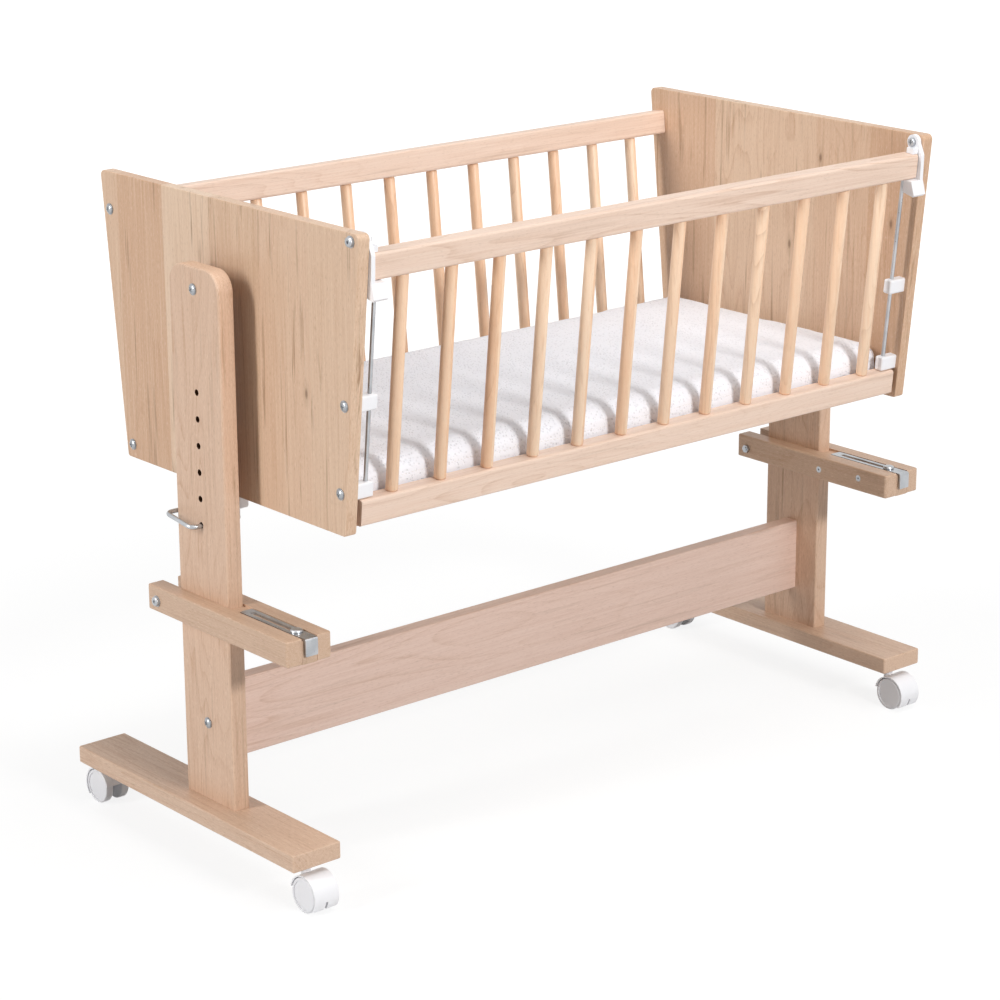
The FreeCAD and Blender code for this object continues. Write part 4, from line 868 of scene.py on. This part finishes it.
# A tall narrow lamp from the left end, a small one from the front and a broad one from above:
# name, place, the place it aims at, how wide and tall it is, in metres, and its power in watts
LAMPS = (
    ("left_lamp", (-7.1, 1.25, 3.5), (0, 0, 0.45), 1.0, 5.6, 350),
    ("front_lamp", (-0.1, -5.8, 3.1), (0, 0, 0.45), 1.6, 0.7, 210),
    ("top_lamp", (0.6, -1.4, 4.9), (0, 0, 0.4), 3.4, 3.4, 116),
)
# How bright the world is for what it lights, and for the camera and reflections
WORLD_LIGHT = 0.11
WORLD_SEEN = 1.0

FLOOR_HALF = 30.0
# The floor that is seen glows, and from near to far less of its shaded self shows
FLOOR_GLOW = 1.17
FLOOR_NEAR = 0.9
FLOOR_FAR = 2.6
FLOOR_NEAR_SHARE = 0.73

# The photograph's view: yaw, pitch and roll in degrees, lens in millimetres, and the place that
# the camera looks at from that distance
CAMERA_TURNS = (40.261, 17.166, -0.292)
CAMERA_LENS = 107.08
CAMERA_AIM = Vector((0, 57.69 * MM + LAYOUT_Y, 343.98 * MM))
CAMERA_AWAY = 3915.7 * MM


def studio_lamp(name, place, aim, wide, tall, power):
    data = bpy.data.lights.new(name, "AREA")
    data.shape = "ELLIPSE"
    data.size = wide
    data.size_y = tall
    data.energy = power
    lamp = bpy.data.objects.new(name, data)
    lamp.location = place
    way = Vector(aim) - Vector(place)
    lamp.rotation_euler = way.to_track_quat("-Z", "Y").to_euler()
    bpy.context.collection.objects.link(lamp)


def photo_camera():
    """The photograph's view: turned 40.3 degrees and looking 17.2 degrees down, from 3.9 m."""
    yaw, pitch, roll = (math.radians(angle) for angle in CAMERA_TURNS)
    back = Vector((-math.sin(yaw) * math.cos(pitch), -math.cos(yaw) * math.cos(pitch),
                   math.sin(pitch)))
    level = Vector((math.cos(yaw), -math.sin(yaw), 0))
    upward = back.cross(level)
    right = level * math.cos(roll) + upward * math.sin(roll)
    top = upward * math.cos(roll) - level * math.sin(roll)
    data = bpy.data.cameras.new("photo_camera")
    data.sensor_width = 36.0
    data.lens = CAMERA_LENS
    data.clip_start = 0.1
    camera = bpy.data.objects.new("photo_camera", data)
    turn = Matrix((right, top, back)).transposed().to_4x4()
    camera.matrix_world = Matrix.Translation(CAMERA_AIM + back * CAMERA_AWAY) @ turn
    bpy.context.collection.objects.link(camera)
    bpy.context.scene.camera = camera


def pale_floor(tone):
    """A white sweep that keeps the shadow: the camera, glass and metal see it glow."""
    material, tree, shader, place = new_material("pale studio floor")
    fill(tree, shader, {"Base Color": (*tone, 1), "Roughness": 0.9})
    path = add(tree, "ShaderNodeLightPath", take=None).outputs
    seen = add(tree, MATH, (path["Is Camera Ray"], path["Is Glossy Ray"]), operation="MAXIMUM")
    seen = add(tree, MATH, (seen, path["Is Transmission Ray"]), operation="MAXIMUM")
    far = add(tree, "ShaderNodeVectorMath", (place,), take="Value", operation="LENGTH")
    share = add(tree, MAP_RANGE, (far, FLOOR_NEAR, FLOOR_FAR, FLOOR_NEAR_SHARE, 1.0))
    share = add(tree, MATH, (seen, share), operation="MULTIPLY")
    glow = add(tree, "ShaderNodeEmission", {"Strength": FLOOR_GLOW})
    both = add(tree, "ShaderNodeMixShader", (share, shader.outputs[0], glow))
    out = next(node for node in tree.nodes if node.type == "OUTPUT_MATERIAL")
    tree.links.new(both, out.inputs[0])
    return material


def studio_world():
    """Even light from all round, dim for the object and white where it is seen."""
    world = bpy.data.worlds.new("studio_world")
    world.use_nodes = True
    tree = world.node_tree
    tree.nodes.clear()
    path = add(tree, "ShaderNodeLightPath", take=None).outputs
    seen = add(tree, MATH, (path["Is Camera Ray"], path["Is Glossy Ray"]), operation="MAXIMUM")
    strength = add(tree, MATH, (seen, WORLD_SEEN - WORLD_LIGHT, WORLD_LIGHT),
                   operation="MULTIPLY_ADD")
    light = add(tree, "ShaderNodeBackground", {
        "Color": linear("#ffffff"), "Strength": strength})
    add(tree, "ShaderNodeOutputWorld", (light,), take=None)
    return world


class CRIB_OT_stage(bpy.types.Operator):
    """Lay the floor, hang the lamps and place the camera"""
    bl_idname = "crib.stage"
    bl_label = "Set Stage"

    def execute(self, context):
        mesh = bpy.data.meshes.new("studio_floor")
        work = bmesh.new()
        bmesh.ops.create_grid(work, x_segments=8, y_segments=8, size=FLOOR_HALF)
        work.to_mesh(mesh)
        work.free()
        floor = bpy.data.objects.new("studio_floor", mesh)
        bpy.context.collection.objects.link(floor)
        paint([floor], pale_floor(tuple(context.scene.crib_settings.floor_tone)))
        context.scene.world = studio_world()
        for lamp in LAMPS:
            studio_lamp(*lamp)
        photo_camera()
        context.scene.view_settings.view_transform = "Standard"
        return {"FINISHED"}


class CRIB_PT_panel(bpy.types.Panel):
    """Lists the crib's pieces in the sidebar"""
    bl_idname = "CRIB_PT_panel"
    bl_label = "Bedside Crib"
    bl_space_type = "VIEW_3D"
    bl_region_type = "UI"
    bl_category = "Crib"

    def draw(self, context):
        for operator in OPERATORS:
            self.layout.operator(operator.bl_idname)
        for name in CribSettings.__annotations__:
            self.layout.prop(context.scene.crib_settings, name)


OPERATORS = (CRIB_OT_wood_finish, CRIB_OT_hardware_finish, CRIB_OT_spindles,
             CRIB_OT_screw_heads, CRIB_OT_mattress, CRIB_OT_stage)
CLASSES = (CribSettings, *OPERATORS, CRIB_PT_panel)


def register():
    for item in CLASSES:
        bpy.utils.register_class(item)
    bpy.types.Scene.crib_settings = bpy.props.PointerProperty(type=CribSettings)


def unregister():
    del bpy.types.Scene.crib_settings
    for item in reversed(CLASSES):
        bpy.utils.unregister_class(item)


def main():
    register()
    bpy.ops.crib.wood_finish()
    bpy.ops.crib.hardware_finish()
    bpy.ops.crib.spindles()
    bpy.ops.crib.screw_heads()
    bpy.ops.crib.mattress()
    bpy.ops.crib.stage()


if __name__ == "__main__":
    main()
